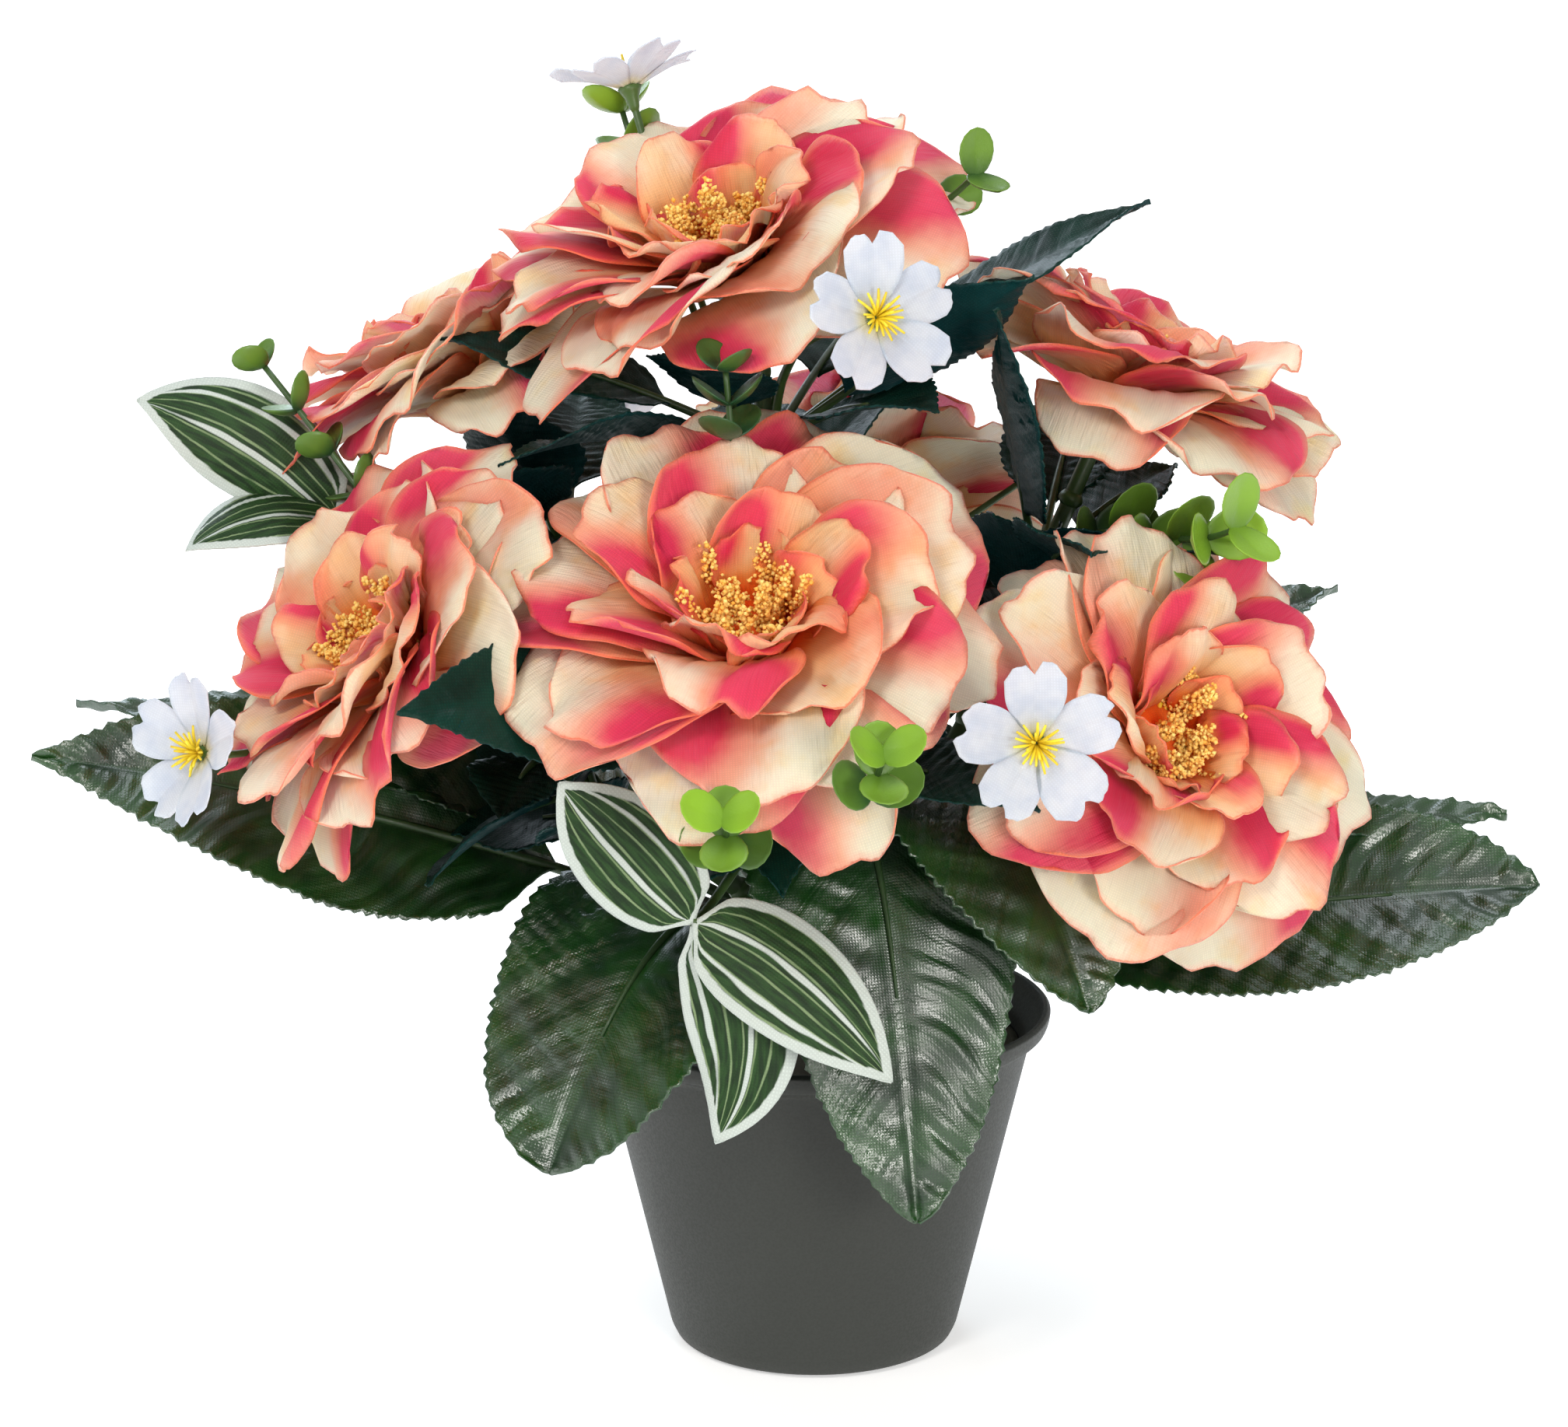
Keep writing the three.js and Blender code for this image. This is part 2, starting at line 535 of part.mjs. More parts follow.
function addBoxSprig(sprig) {
  const end = at(sprig.tip);
  const root = hosts[sprig.host].getPoint(sprig.at);
  const way = sprig.facing ? looking(sprig.facing) : end.clone().sub(root).normalize();
  const curve = stalkCurve(sprig, end, way);
  const pieces = [limb(curve, boxLeaf.stalkRadius * 1.3, boxLeaf.stalkRadius, { sides: 5, steps: 4 })];
  for (let k = 0; k < sprig.pairs; k++) {
    const share = sprig.from + ((0.985 - sprig.from) * k) / (sprig.pairs - 1);
    const node = curve.getPoint(share);
    const along = curve.getTangent(share);
    const side = new THREE.Vector3().crossVectors(up, along).normalize().applyAxisAngle(along, k * Math.PI / 2);
    for (const hand of [-1, 1]) {
      const out = side.clone().multiplyScalar(hand * 0.8).addScaledVector(along, 0.6).normalize();
      const face = along.clone().addScaledVector(out, -along.dot(out)).normalize();
      const frame = new THREE.Matrix4().makeBasis(out, new THREE.Vector3().crossVectors(face, out), face);
      pieces.push((grow) => {
        const disc = new THREE.SphereGeometry(1, boxLeaf.sides, 2).rotateX(Math.PI / 2);
        disc.scale((boxLeaf.length * sprig.size) / 2 + grow, (boxLeaf.width * sprig.size) / 2 + grow,
          boxLeaf.thickness / 2 + grow * 1.6);
        disc.translate((boxLeaf.length * sprig.size) / 2 + boxLeaf.rootLift, 0, 0).applyMatrix4(frame);
        return solidOf(disc.translate(node.x, node.y, node.z));
      });
    }
  }
  addNode(`box_sprig_${sprig.name}`, pieces, { color: colours.box, roughness: 0.5, metalness: 0 }, root);
}

function addStripedSprig(sprig) {
  const knot = at(sprig.knot);
  const root = hosts[sprig.host].getPoint(sprig.at);
  const curve = stalkCurve(sprig, knot, knot.clone().sub(root).normalize());
  const pieces = [limb(curve, 1.5, stripedLeaf.stalkRadius, { sides: 5, steps: 5 })];
  for (const leaf of sprig.leaves) {
    const tip = at(leaf.tip);
    const face = looking(leaf.face);
    const side = new THREE.Vector3().crossVectors(up, face).normalize();
    const middle = knot.clone().add(tip).multiplyScalar(0.5)
      .addScaledVector(up, leaf.lift).addScaledVector(side, leaf.sway ?? 0);
    const rib = new THREE.QuadraticBezierCurve3(knot, middle, tip);
    pieces.push(blade({
      spine: leafSpine(rib, 0, face, 0), outline: leafOutline(stripedLeaf.width, 0.65),
      dish: -stripedLeaf.fold, thickness: stripedLeaf.thickness, cells: stripedLeaf.cells,
    }));
  }
  addNode(`striped_leaves_${sprig.name}`, pieces, { color: colours.striped, roughness: 0.7, metalness: 0 }, knot);
}

// ---- assembly: what comes first keeps its shape, and what follows is cut clear of it ----

addPot();
addFilling();
addMainStem();
blooms.forEach(addBranch);
whiteFlowers.forEach(addWhiteFlower);
boxSprigs.forEach(addBoxSprig);
stripedSprigs.forEach(addStripedSprig);
blooms.forEach(addBloom);
collarLeaves.forEach(addCollarLeaf);
blooms.forEach(addUpperLeaves);

export default arrangement;
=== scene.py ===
import math
import random

import bpy
import numpy as np
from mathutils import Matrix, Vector, noise


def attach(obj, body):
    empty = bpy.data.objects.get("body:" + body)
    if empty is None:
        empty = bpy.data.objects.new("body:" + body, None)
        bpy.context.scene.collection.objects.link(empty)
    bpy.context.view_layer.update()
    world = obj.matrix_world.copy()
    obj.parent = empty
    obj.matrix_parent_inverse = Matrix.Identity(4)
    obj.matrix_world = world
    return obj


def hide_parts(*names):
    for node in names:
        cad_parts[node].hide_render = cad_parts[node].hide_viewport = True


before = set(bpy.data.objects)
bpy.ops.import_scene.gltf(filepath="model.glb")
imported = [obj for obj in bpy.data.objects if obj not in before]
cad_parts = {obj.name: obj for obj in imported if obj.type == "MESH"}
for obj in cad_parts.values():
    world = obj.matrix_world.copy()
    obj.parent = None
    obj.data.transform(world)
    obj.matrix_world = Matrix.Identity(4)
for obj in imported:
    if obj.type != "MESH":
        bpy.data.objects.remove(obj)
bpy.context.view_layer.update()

# An artificial camellia arrangement in a tapered plastic pot. Lengths are in millimetres until a mesh
# is made. A place is azimuth (0 is the front, 90 is +X), reach from the pot's axis and height.
mm = 0.001
print("camera and light")

view = {"stand": (-8.4, -1261.4, 491.5), "pitch": 14, "focal": 6165, "pixels": 2016, "sensor": 36}


def stood(name, data):
    thing = bpy.data.objects.new(name, data)
    bpy.context.scene.collection.objects.link(thing)
    return thing


camera = stood("camera", bpy.data.cameras.new("camera"))
camera.location = [c * mm for c in view["stand"]]
camera.rotation_euler = (math.radians(90 - view["pitch"]), 0, 0)
camera.data.sensor_width = view["sensor"]
camera.data.lens = view["sensor"] * view["focal"] / view["pixels"]
camera.data.clip_start = 0.05
camera.data.clip_end = 20
bpy.context.scene.camera = camera
bpy.context.scene.view_settings.view_transform = "Standard"

lampAim = Vector((0, 0, 0.18))
lamps = {  # place, size, strength and colour of each soft box
    "key": ((-420, -960, 880), 340, 6.6, "fff8ee"),
    "fill": ((480, -1080, 400), 320, 6.2, "fff8ee"),
    "side": ((-1080, -360, 340), 420, 1.5, "ffffff"),
    "crown": ((60, 160, 1200), 600, 4, "deecff"),
    "rear": ((-300, 900, 700), 600, 5, "c4e2ff"),
}
for name, (spot, size, power, tint) in lamps.items():
    lamp = stood("lamp_" + name, bpy.data.lights.new("lamp_" + name, "AREA"))
    lamp.location = [c * mm for c in spot]
    lamp.rotation_euler = (lampAim - lamp.location).to_track_quat("-Z", "Y").to_euler()
    lamp.data.size = size * mm
    lamp.data.energy = power
    lamp.data.color = [int(tint[i:i + 2], 16) / 255 for i in (0, 2, 4)]
world = bpy.data.worlds.new("studio")
bpy.context.scene.world = world
world.use_nodes = True
sky = world.node_tree.nodes["Background"]
sky.inputs["Color"].default_value = (1, 1, 1, 1)
sky.inputs["Strength"].default_value = 0.4


# Places and curves.
def unit(v):
    v = np.asarray(v, float)
    return v / np.maximum(np.linalg.norm(v, axis=-1, keepdims=True), 1e-9)


def place(azimuth, reach, height):
    a = math.radians(azimuth)
    return np.array([reach * math.sin(a), -reach * math.cos(a), height])


def looking(azimuth, elevation):
    e = math.radians(elevation)
    return place(azimuth, math.cos(e), math.sin(e))


def turned(v, axis, angle):
    return (v * math.cos(angle) + np.cross(axis, v) * math.sin(angle)
            + axis * (np.sum(v * axis, -1, keepdims=True)) * (1 - math.cos(angle)))


def bezier(*points):
    def at(t):
        t = np.asarray(t, float)[..., None]
        row = [np.asarray(p, float) for p in points]
        while len(row) > 1:
            row = [a + (b - a) * t for a, b in zip(row, row[1:])]
        return row[0]
    return at


def way(curve, t):
    t = np.asarray(t, float)
    return unit(curve(t + 1e-3) - curve(t - 1e-3))


def arched(root, tip, arch):
    return bezier(root, (root + tip) / 2 + np.array([0, 0, arch]), tip)


def smooth(a, b, x):
    x = np.clip((np.asarray(x, float) - a) / (b - a), 0, 1)
    return x * x * (3 - 2 * x)


upward = np.array([0.0, 0.0, 1.0])


def levelSide(axis):
    return unit(np.cross(upward, axis))


# Meshes: patches of points are gathered, and each keeps a place of its own in the bake map.
def quads(*corners):
    return np.stack(corners, -1).reshape(-1, 4).tolist()


def pairs(x, y):
    return np.stack([x, y], -1).reshape(-1, 2)


def gridShares(rows, cols):
    return np.meshgrid(np.linspace(0, 1, rows), np.linspace(0, 1, cols), indexing="ij")


def overGrid(values, rows, cols):
    return {key: np.broadcast_to(value, (rows, cols)).ravel() for key, value in values.items()}


def thinSheet(points, thickness, values, **maps):
    # A closed cloth sheet: the front grid, the back grid and the rim between them.
    rows, cols = points.shape[:2]
    count = rows * cols
    out = unit(np.cross(np.gradient(points, axis=0), np.gradient(points, axis=1)))
    both = np.concatenate([(points + out * thickness / 2).reshape(-1, 3),
                           (points - out * thickness / 2).reshape(-1, 3)])
    index = np.arange(count).reshape(rows, cols)
    a, b, c, d = index[:-1, :-1], index[1:, :-1], index[1:, 1:], index[:-1, 1:]
    sheets = quads(a, b, c, d) + quads(d + count, c + count, b + count, a + count)
    loop = np.concatenate([index[:-1, 0], index[-1, :-1], index[:0:-1, -1], index[0, :0:-1]])
    after = np.roll(loop, -1)
    rim = quads(after, loop, loop + count, after + count)
    u, v = gridShares(rows, cols)
    made = {key: np.tile(value, 2) for key, value in overGrid(values, rows, cols).items()}
    made["under"] = np.repeat([0.0, 1.0], count)
    ownMaps = {"OFBake": np.concatenate([pairs(v * 0.48 + 0.01, u), pairs(v * 0.48 + 0.51, u)])}
    ownMaps.update({key: np.tile(grid.reshape(-1, 2), (2, 1)) for key, grid in maps.items()})
    return {"points": both, "faces": sheets + rim, "corners": sheets + quads(after, loop, loop, after),
            "flat": len(rim), "maps": ownMaps, "values": made}


def closedGrid(points, values):
    # Rows of rings, closed at both ends by a flat cap.
    rows, cols = points.shape[:2]
    index = np.arange(rows * cols).reshape(rows, cols)
    beside = np.roll(index, -1, axis=1)
    faces = quads(index[:-1], beside[:-1], beside[1:], index[1:])
    faces += [index[0, ::-1].tolist(), index[-1].tolist()]
    index = np.arange(rows * (cols + 1)).reshape(rows, cols + 1)
    corners = quads(index[:-1, :-1], index[:-1, 1:], index[1:, 1:], index[1:, :-1])
    corners += [index[0, :-1][::-1].tolist(), index[-1, :-1].tolist()]
    u, v = gridShares(rows, cols + 1)
    length = np.concatenate([[0], np.cumsum(np.linalg.norm(np.diff(points[:, 0], axis=0), axis=-1))])
    girth = np.linalg.norm(points[:, 0] - points[:, cols // 2], axis=-1).max() * math.pi
    cloth = pairs(v * girth, np.broadcast_to(length[:, None], u.shape))
    return {"points": points.reshape(-1, 3), "faces": faces, "corners": corners, "flat": 0,
            "maps": {"OFBake": pairs(v, u), "cloth": cloth}, "values": overGrid(values, rows, cols)}


def tube(curve, radii, sides, steps, span=(0, 1), tone=0.5):
    t = np.linspace(span[0], span[1], steps + 1)
    centre, along = curve(t), way(curve, t)
    radius = np.interp(np.linspace(0, 1, steps + 1), np.linspace(0, 1, len(radii)), radii)
    side = unit(np.cross(along[0], upward if abs(along[0][2]) < 0.9 else np.array([1.0, 0, 0])))
    rings = []
    for k in range(steps + 1):
        side = unit(side - along[k] * np.dot(side, along[k]))
        other = np.cross(along[k], side)
        angle = np.arange(sides) * 2 * math.pi / sides
        rings.append(centre[k] + radius[k] * (np.cos(angle)[:, None] * side + np.sin(angle)[:, None] * other))
    return closedGrid(np.array(rings), {"tone": tone})


def turnedForm(profile, sides, values, origin=(0, 0, 0), axis=(0, 0, 1), rough=0):
    axis = unit(axis)
    side = levelSide(axis) if abs(axis[2]) < 0.999 else np.array([1.0, 0, 0])
    other = np.cross(axis, side)
    angle = np.arange(sides) * 2 * math.pi / sides
    ringWay = np.cos(angle)[:, None] * side + np.sin(angle)[:, None] * other
    rings = np.array([np.asarray(origin, float) + axis * z + ringWay * max(r, 0.02) for r, z in profile])
    if rough:
        for row in rings:
            for point in row:
                point += axis * rough * noise.fractal(Vector(point) * 0.16, 0.6, 2.1, 4)
    return closedGrid(rings, values)


def rounded(profile, steps, share):
    # Softens each corner of a profile.
    soft = [profile[0]]
    for before, here, after in zip(profile, profile[1:], profile[2:]):
        before, here, after = map(np.array, (before, here, after))
        gap = min(np.linalg.norm(before - here), np.linalg.norm(after - here)) * share
        curve = bezier(here + unit(before - here) * gap, here, here + unit(after - here) * gap)
        soft += [tuple(p) for p in curve(np.linspace(0, 1, steps + 1))]
    return soft + [profile[-1]]


def addPiece(name, patches, finish, stands=()):
    # Joins the patches into one piece, which rides on the body and may stand for CAD nodes.
    shelf = math.ceil(math.sqrt(len(patches) / 2))
    shelves = math.ceil(len(patches) / shelf)
    points, faces, starts = [], [], 0
    maps = {key: [] for key in patches[0]["maps"]}
    values = {key: [] for patch in patches for key in patch["values"]}
    flatFrom = []
    for k, patch in enumerate(patches):
        cell = np.array([k % shelf, k // shelf])
        size = np.array([1 / shelf, 1 / shelves])
        corners = np.concatenate([np.asarray(face) for face in patch["corners"]])
        for key in maps:
            grid = patch["maps"][key]
            maps[key].append(((grid * 0.94 + 0.03 + cell) * size if key == "OFBake" else grid)[corners])
        points.append(patch["points"])
        faces += [[i + starts for i in face] for face in patch["faces"]]
        flatFrom += [True] * (len(patch["faces"]) - patch["flat"]) + [False] * patch["flat"]
        for key in values:
            values[key].append(patch["values"].get(key, np.zeros(len(patch["points"]))))
        starts += len(patch["points"])
    mesh = bpy.data.meshes.new(name)
    mesh.from_pydata((np.concatenate(points) * mm).tolist(), [], faces)
    mesh.polygons.foreach_set("use_smooth", flatFrom)
    for key, corners in maps.items():
        flatMap = np.concatenate(corners).astype(np.float32).ravel()
        mesh.uv_layers.new(name=key).uv.foreach_set("vector", flatMap)
    for key, parts in values.items():
        series = np.concatenate(parts).astype(np.float32)
        mesh.attributes.new(key, "FLOAT", "POINT").data.foreach_set("value", series)
    mesh.materials.append(finish)
    mesh.update()
    piece = stood(name, mesh)
    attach(piece, "root")
    if stands:
        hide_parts(*stands)
    return piece


def paint(text):
    # A colour written as on screen, turned into light.
    shares = [int(text[i:i + 2], 16) / 255 for i in (0, 2, 4)]
    return (*[s / 12.92 if s <= 0.04045 else ((s + 0.055) / 1.055) ** 2.4 for s in shares], 1)


bandStep = 0.314  # from one band to the next in a wave texture of scale 1


class Finish:
    # A material with short calls for the nodes that colour and emboss it.
    def __init__(self, name, **sockets):
        self.material = bpy.data.materials.new(name)
        self.material.use_nodes = True
        self.tree = self.material.node_tree
        self.shader = self.tree.nodes["Principled BSDF"]
        for key, value in sockets.items():
            self.shader.inputs[key.replace("_", " ")].default_value = value

    def add(self, kind, inputs=(), output=0, **settings):
        node = self.tree.nodes.new("ShaderNode" + kind)
        for key, value in settings.items():
            setattr(node, key, value)
        for key, value in dict(inputs).items():
            if isinstance(value, bpy.types.NodeSocket):
                self.tree.links.new(value, node.inputs[key])
            else:
                node.inputs[key].default_value = value
        return node.outputs[output]

    def value(self, name):
        return self.add("Attribute", output="Fac", attribute_name=name)

    def math(self, operation, a, b=0.0, clamp=False):
        return self.add("Math", {0: a, 1: b}, operation=operation, use_clamp=clamp)

    def band(self, x, low, high, out=(0.0, 1.0)):
        return self.add("MapRange", {"Value": x, "From Min": low, "From Max": high, "To Min": out[0],
                                     "To Max": out[1]}, interpolation_type="SMOOTHSTEP")

    def mix(self, share, a, b, blend="MIX"):
        return self.add("Mix", {0: share, 6: a, 7: b}, output=2, data_type="RGBA", blend_type=blend)

    def cloth(self):
        return self.add("UVMap", uv_map="cloth")

    def noise(self, scale, detail=3.0, vector=None, stretch=None):
        where = vector or self.add("TexCoord", output="Object")
        if stretch:
            where = self.add("VectorMath", {0: where, 1: stretch}, operation="MULTIPLY")
        return self.add("TexNoise", {"Vector": where, "Scale": scale, "Detail": detail})

    def weave(self, pitch):
        # Threads both ways, pitch millimetres apart.
        wave = {"Vector": self.cloth(), "Scale": bandStep / pitch, "Distortion": 0.35, "Detail": 1.0,
                "Detail Scale": 1.4}
        threads = [self.add("TexWave", wave, bands_direction=side) for side in "XY"]
        return self.math("MULTIPLY", *threads)

    def drift(self, pattern, reach):
        # A pattern turned into a shift to both sides of nought.
        return self.math("MULTIPLY", self.math("SUBTRACT", pattern, 0.5), reach)

    def grey(self, shade):
        return self.add("CombineColor", {0: shade, 1: shade, 2: shade})

    def dye(self, ground, source, span, share, colour):
        # Lays a colour over the ground where the source passes from one end of the span to the other.
        return self.mix(self.band(source, *span, (0.0, share)), ground, paint(colour))

    def woven(self, ground, weave, shades):
        self.colour(self.mix(1.0, ground, self.grey(self.band(weave, 0.1, 0.9, shades)), "MULTIPLY"))

    def bump(self, *heights):
        # Each is a height socket, its strength and its depth in millimetres.
        last = None
        for height, strength, depth in heights:
            inputs = {"Height": height, "Strength": strength, "Distance": depth * mm}
            if last:
                inputs["Normal"] = last
            last = self.add("Bump", inputs)
        self.tree.links.new(last, self.shader.inputs["Normal"])

    def colour(self, socket):
        self.tree.links.new(socket, self.shader.inputs["Base Color"])

    def roughness(self, socket):
        self.tree.links.new(socket, self.shader.inputs["Roughness"])


petalCloth = {
    "cream": "f8ecc8", "straw": "f8e4a4", "scatter": (1.0, 0.8, 0.6), "weave": 0.66, "shades": (0.92, 1.03),
    "dyes": [  # what it follows, the span over which it comes in, how much it covers and its colour
        ("heart", (0.1, 0.62), 1.0, "fec284"), ("glow", (0.06, 0.5), 0.75, "fa7c5e"),
        # The apricot and deep orange layers near the petal root are partly the dyed base and partly painted
        # shade, the warm glow in the shaded roots and folds between petals.
        ("glow", (0.4, 0.86), 1.0, "e22e50"), ("heart", (0.55, 1.15), 0.9, "ff8c38"),
        ("heart", (0.9, 1.45), 1.0, "ff5c10"), ("lining", (0.8, 0.15), 0.8, "da3a12"),
        ("lining", (3.0, 0.2), 0.42, "fa7c5e"),
    ],
}


def petalFinish():
    c = petalCloth
    f = Finish("petal_satin", Roughness=0.62, Sheen_Weight=0.04, Sheen_Roughness=0.4, Specular_IOR_Level=0.16,
               Subsurface_Weight=0.4, Subsurface_Scale=0.01, Subsurface_Radius=c["scatter"])
    patchy = f.noise(0.075, 3.0, f.cloth())
    fine = f.noise(0.9, 2.0, f.cloth())
    weave = f.weave(c["weave"])
    follows = {
        # heart carries both the dyed base and the painted shade at the petal roots
        "heart": f.math("ADD", f.value("heart"), f.drift(patchy, 0.5)),
        "glow": f.math("ADD", f.value("blush"), f.drift(patchy, 0.4)),
        "lining": f.math("ADD", f.value("margin"), f.drift(fine, 0.9)),
    }
    ground = f.mix(f.band(patchy, 0.5, 0.75), paint(c["cream"]), paint(c["straw"]))
    for source, span, share, colour in c["dyes"]:
        ground = f.dye(ground, follows[source], span, share, colour)
    f.woven(ground, weave, c["shades"])
    veins = f.noise(0.4, 4.0, f.cloth(), (2.4, 0.25, 1.0))
    f.bump((veins, 0.7, 0.8), (weave, 0.5, 0.07))
    return f.material


leafCloths = {  # dark, light and lining colours, how matt, index of refraction, light share at the margin
    "collar": ("0a2c0c", "1c4c14", "12402a", 0.33, 1.85, 0.5),
    # The teal of the upper leaves is partly their dark green and partly a painted blue cast of the light from
    # above.
    "leaf": ("052018", "0a372c", "0b3a40", 0.44, 1.24, 0.35),
}


def leafFinish(name):
    dark, light, lining, matt, ior, fresh = leafCloths[name]
    f = Finish(name + "_satin", Roughness=matt, IOR=ior)
    weave = f.weave(0.8)
    patchy = f.noise(0.05, 4.0, f.cloth())
    crease = f.noise(0.3, 3.0, f.add("UVMap", uv_map="folds"))
    ground = f.mix(f.band(patchy, 0.35, 0.75), paint(dark), paint(light))
    ground = f.dye(ground, f.value("margin"), (7.0, 0.3), fresh, light)
    ground = f.dye(ground, f.value("vein"), (0.25, 0.9), 0.35, light)
    ground = f.mix(f.math("MULTIPLY", f.value("under"), 0.6), ground, paint(lining))
    f.woven(ground, weave, (0.8, 1.15))
    f.roughness(f.band(crease, 0.3, 0.7, (matt - 0.05, matt + 0.1)))
    f.bump((crease, 0.6, 0.7), (weave, 0.6, 0.06))
    return f.material


stripes = {
    "cream": "c2cbc4", "green": "25461c", "deep": "142c10", "pale": "8fa678", "broad": 8.6, "narrow": 24.0,
    "border": (3.1, 2.5), "shades": (0.9, 1.04),
}


def stripedFinish():
    # The stripes follow the leaf from its root to its tip, and a cream border follows its margin.
    c = stripes
    f = Finish("striped_cloth", Roughness=0.6, Specular_IOR_Level=0.3)
    weave = f.weave(0.8)
    wander = f.drift(f.noise(0.12, 2.0, f.cloth(), (1.0, 0.25, 1.0)), 0.5)
    across = f.math("ADD", f.value("across"), f.math("MULTIPLY", wander, 0.4))
    broad = f.math("SINE", f.math("MULTIPLY", across, c["broad"]))
    broad = f.math("ADD", broad, f.math("MULTIPLY", wander, 0.8))
    narrow = f.math("SINE", f.math("ADD", f.math("MULTIPLY", across, c["narrow"]), 1.0))
    brush = f.noise(0.9, 3.0, f.cloth(), (1.0, 0.12, 1.0))
    narrow = f.math("ADD", narrow, f.math("MULTIPLY", brush, 0.5))
    border = f.math("ADD", f.value("margin"), f.drift(brush, 1.2))
    ground = f.mix(f.band(brush, 0.35, 0.65), paint(c["green"]), paint(c["deep"]))
    ground = f.dye(ground, narrow, (1.0, 1.3), 0.75, c["pale"])
    ground = f.dye(ground, broad, (0.86, 0.98), 1.0, c["cream"])
    ground = f.dye(ground, border, c["border"], 1.0, c["cream"])
    f.woven(ground, weave, c["shades"])
    f.bump((f.noise(0.3, 3.0, f.cloth()), 0.3, 0.4), (weave, 0.6, 0.1))
    return f.material


def whiteFinish():
    f = Finish("white_cloth", Roughness=0.7, Sheen_Weight=0.1, Specular_IOR_Level=0.3,
               Subsurface_Weight=0.5, Subsurface_Scale=0.004, Subsurface_Radius=(1.0, 1.0, 1.0))
    weave = f.weave(0.7)
    ground = f.mix(f.band(f.noise(0.12, 3.0, f.cloth()), 0.35, 0.7), paint("c8d1de"), paint("b4c1d6"))
    ground = f.dye(ground, f.value("heart"), (0.72, 1.0), 0.7, "e9e08a")
    f.woven(ground, weave, (0.93, 1.02))
    f.bump((weave, 0.5, 0.08))
    return f.material


def mouldedFinish(name, dark, light, matt, speckle=0.35, depth=0.12):
    # Moulded plastic or set plaster: a mottled colour with a fine grain. tone shifts a part's colour.
    f = Finish(name, Roughness=matt, Specular_IOR_Level=0.5)
    mottled = f.noise(90.0, 4.0)
    grain = f.noise(1400.0, 2.0)
    tone = f.math("ADD", f.value("tone"), f.drift(mottled, speckle), True)
    f.colour(f.mix(tone, paint(dark), paint(light)))
    f.roughness(f.band(grain, 0.3, 0.7, (matt - 0.05, matt + 0.08)))
    f.bump((mottled, 0.25, depth * 2), (grain, 0.35, depth))
    return f.material


petalSatin = petalFinish()
collarSatin = leafFinish("collar")
leafSatin = leafFinish("leaf")
stripedCloth = stripedFinish()
whiteCloth = whiteFinish()
stemPlastic = mouldedFinish("stem_plastic", "1c3420", "47642c", 0.42)
boxPlastic = mouldedFinish("box_plastic", "1c4526", "86b02a", 0.38, 0.2)
pollenGold = mouldedFinish("pollen_gold", "f2a82a", "ffe688", 0.8, 0.5)
filamentYellow = mouldedFinish("filament_yellow", "e0b81c", "f8e23a", 0.5)
potPlastic = mouldedFinish("pot_plastic", "272a26", "2f322d", 0.55, 0.3, 0.05)
plaster = mouldedFinish("plaster", "4a4238", "7d7364", 0.95, 1.2, 0.6)


pot = {
    "height": 95, "foot": 39, "footRound": 3, "shoulder": 59.8, "shoulderHeight": 87.5, "lip": 65,
    "lipFoot": 89.5, "wall": 2, "hollow": 24, "sides": 160, "soft": (3, 0.3),
}
filling = {"bottom": 2.4, "top": 84, "crown": 3, "sides": 96, "rough": 0.5, "gap": 0.4}


def wallRadius(z):
    return pot["foot"] + (pot["shoulder"] - pot["foot"]) / pot["shoulderHeight"] * z


def makePot():
    p = pot
    lip, top, wall = p["lip"], p["height"], p["wall"]
    outside = [(wallRadius(z), z) for z in np.linspace(12, p["shoulderHeight"] - 8, 8)]
    inside = [(wallRadius(z) - wall, z) for z in np.linspace(p["shoulderHeight"] - 4, 10, 6)]
    foot = [(0, 1.0), (p["hollow"] - 4, 1.0), (p["hollow"], 0), (p["foot"] - p["footRound"], 0),
            (p["foot"] - 0.6, 0.9), (wallRadius(4), 4)]
    rim = [(p["shoulder"], p["shoulderHeight"]), (lip - 1.2, p["lipFoot"]), (lip - 0.4, p["lipFoot"] + 2),
           (lip, top - 1), (lip - 1, top), (lip - wall, top - 0.2), (lip - wall - 1.6, top - 3),
           (wallRadius(p["shoulderHeight"]) - wall, p["shoulderHeight"])]
    profile = [*foot, *outside, *rim, *inside, (wallRadius(2) - wall - 0.5, 2), (0, 2)]
    shell = turnedForm(rounded(profile, *p["soft"]), p["sides"], {"tone": 0.5})
    addPiece("pot_shell", [shell], potPlastic, ["pot"])

    low, high = filling["bottom"], filling["top"]
    edge = wallRadius(high) - wall - filling["gap"]
    fill = [(0, low), (wallRadius(low) - 2.6, low), (edge, high - 0.3)]
    shares = (0.96, 0.9, 0.82, 0.72, 0.6, 0.48, 0.36, 0.24, 0.12, 0)
    fill += [(edge * share, high + filling["crown"] * (1 - share * share)) for share in shares]
    plug = turnedForm(fill, filling["sides"], {"tone": 0.5}, rough=filling["rough"])
    addPiece("set_filling", [plug], plaster, ["pot_filling"])


# Radius and height of the moulded stem, from the filling to the fork.
stemProfile = [
    (8.5, 86.3), (7.6, 90), (6.2, 98), (6, 101), (7.6, 105), (9.3, 108), (9.5, 113), (8, 116), (6, 117.6),
    (0, 118),
]
limb = {
    "forkHeight": 112, "leaves": 0.12, "radii": [3, 2.8, 2.6, 2.4, 2.1], "sleeves": (0.2, 0.45, 0.85),
    "sleeve": [2.4, 3.3, 3.5, 3.3, 2.5], "sleeveHalf": 0.015, "heart": 28, "gap": 0.3, "bends": (45, 30),
}

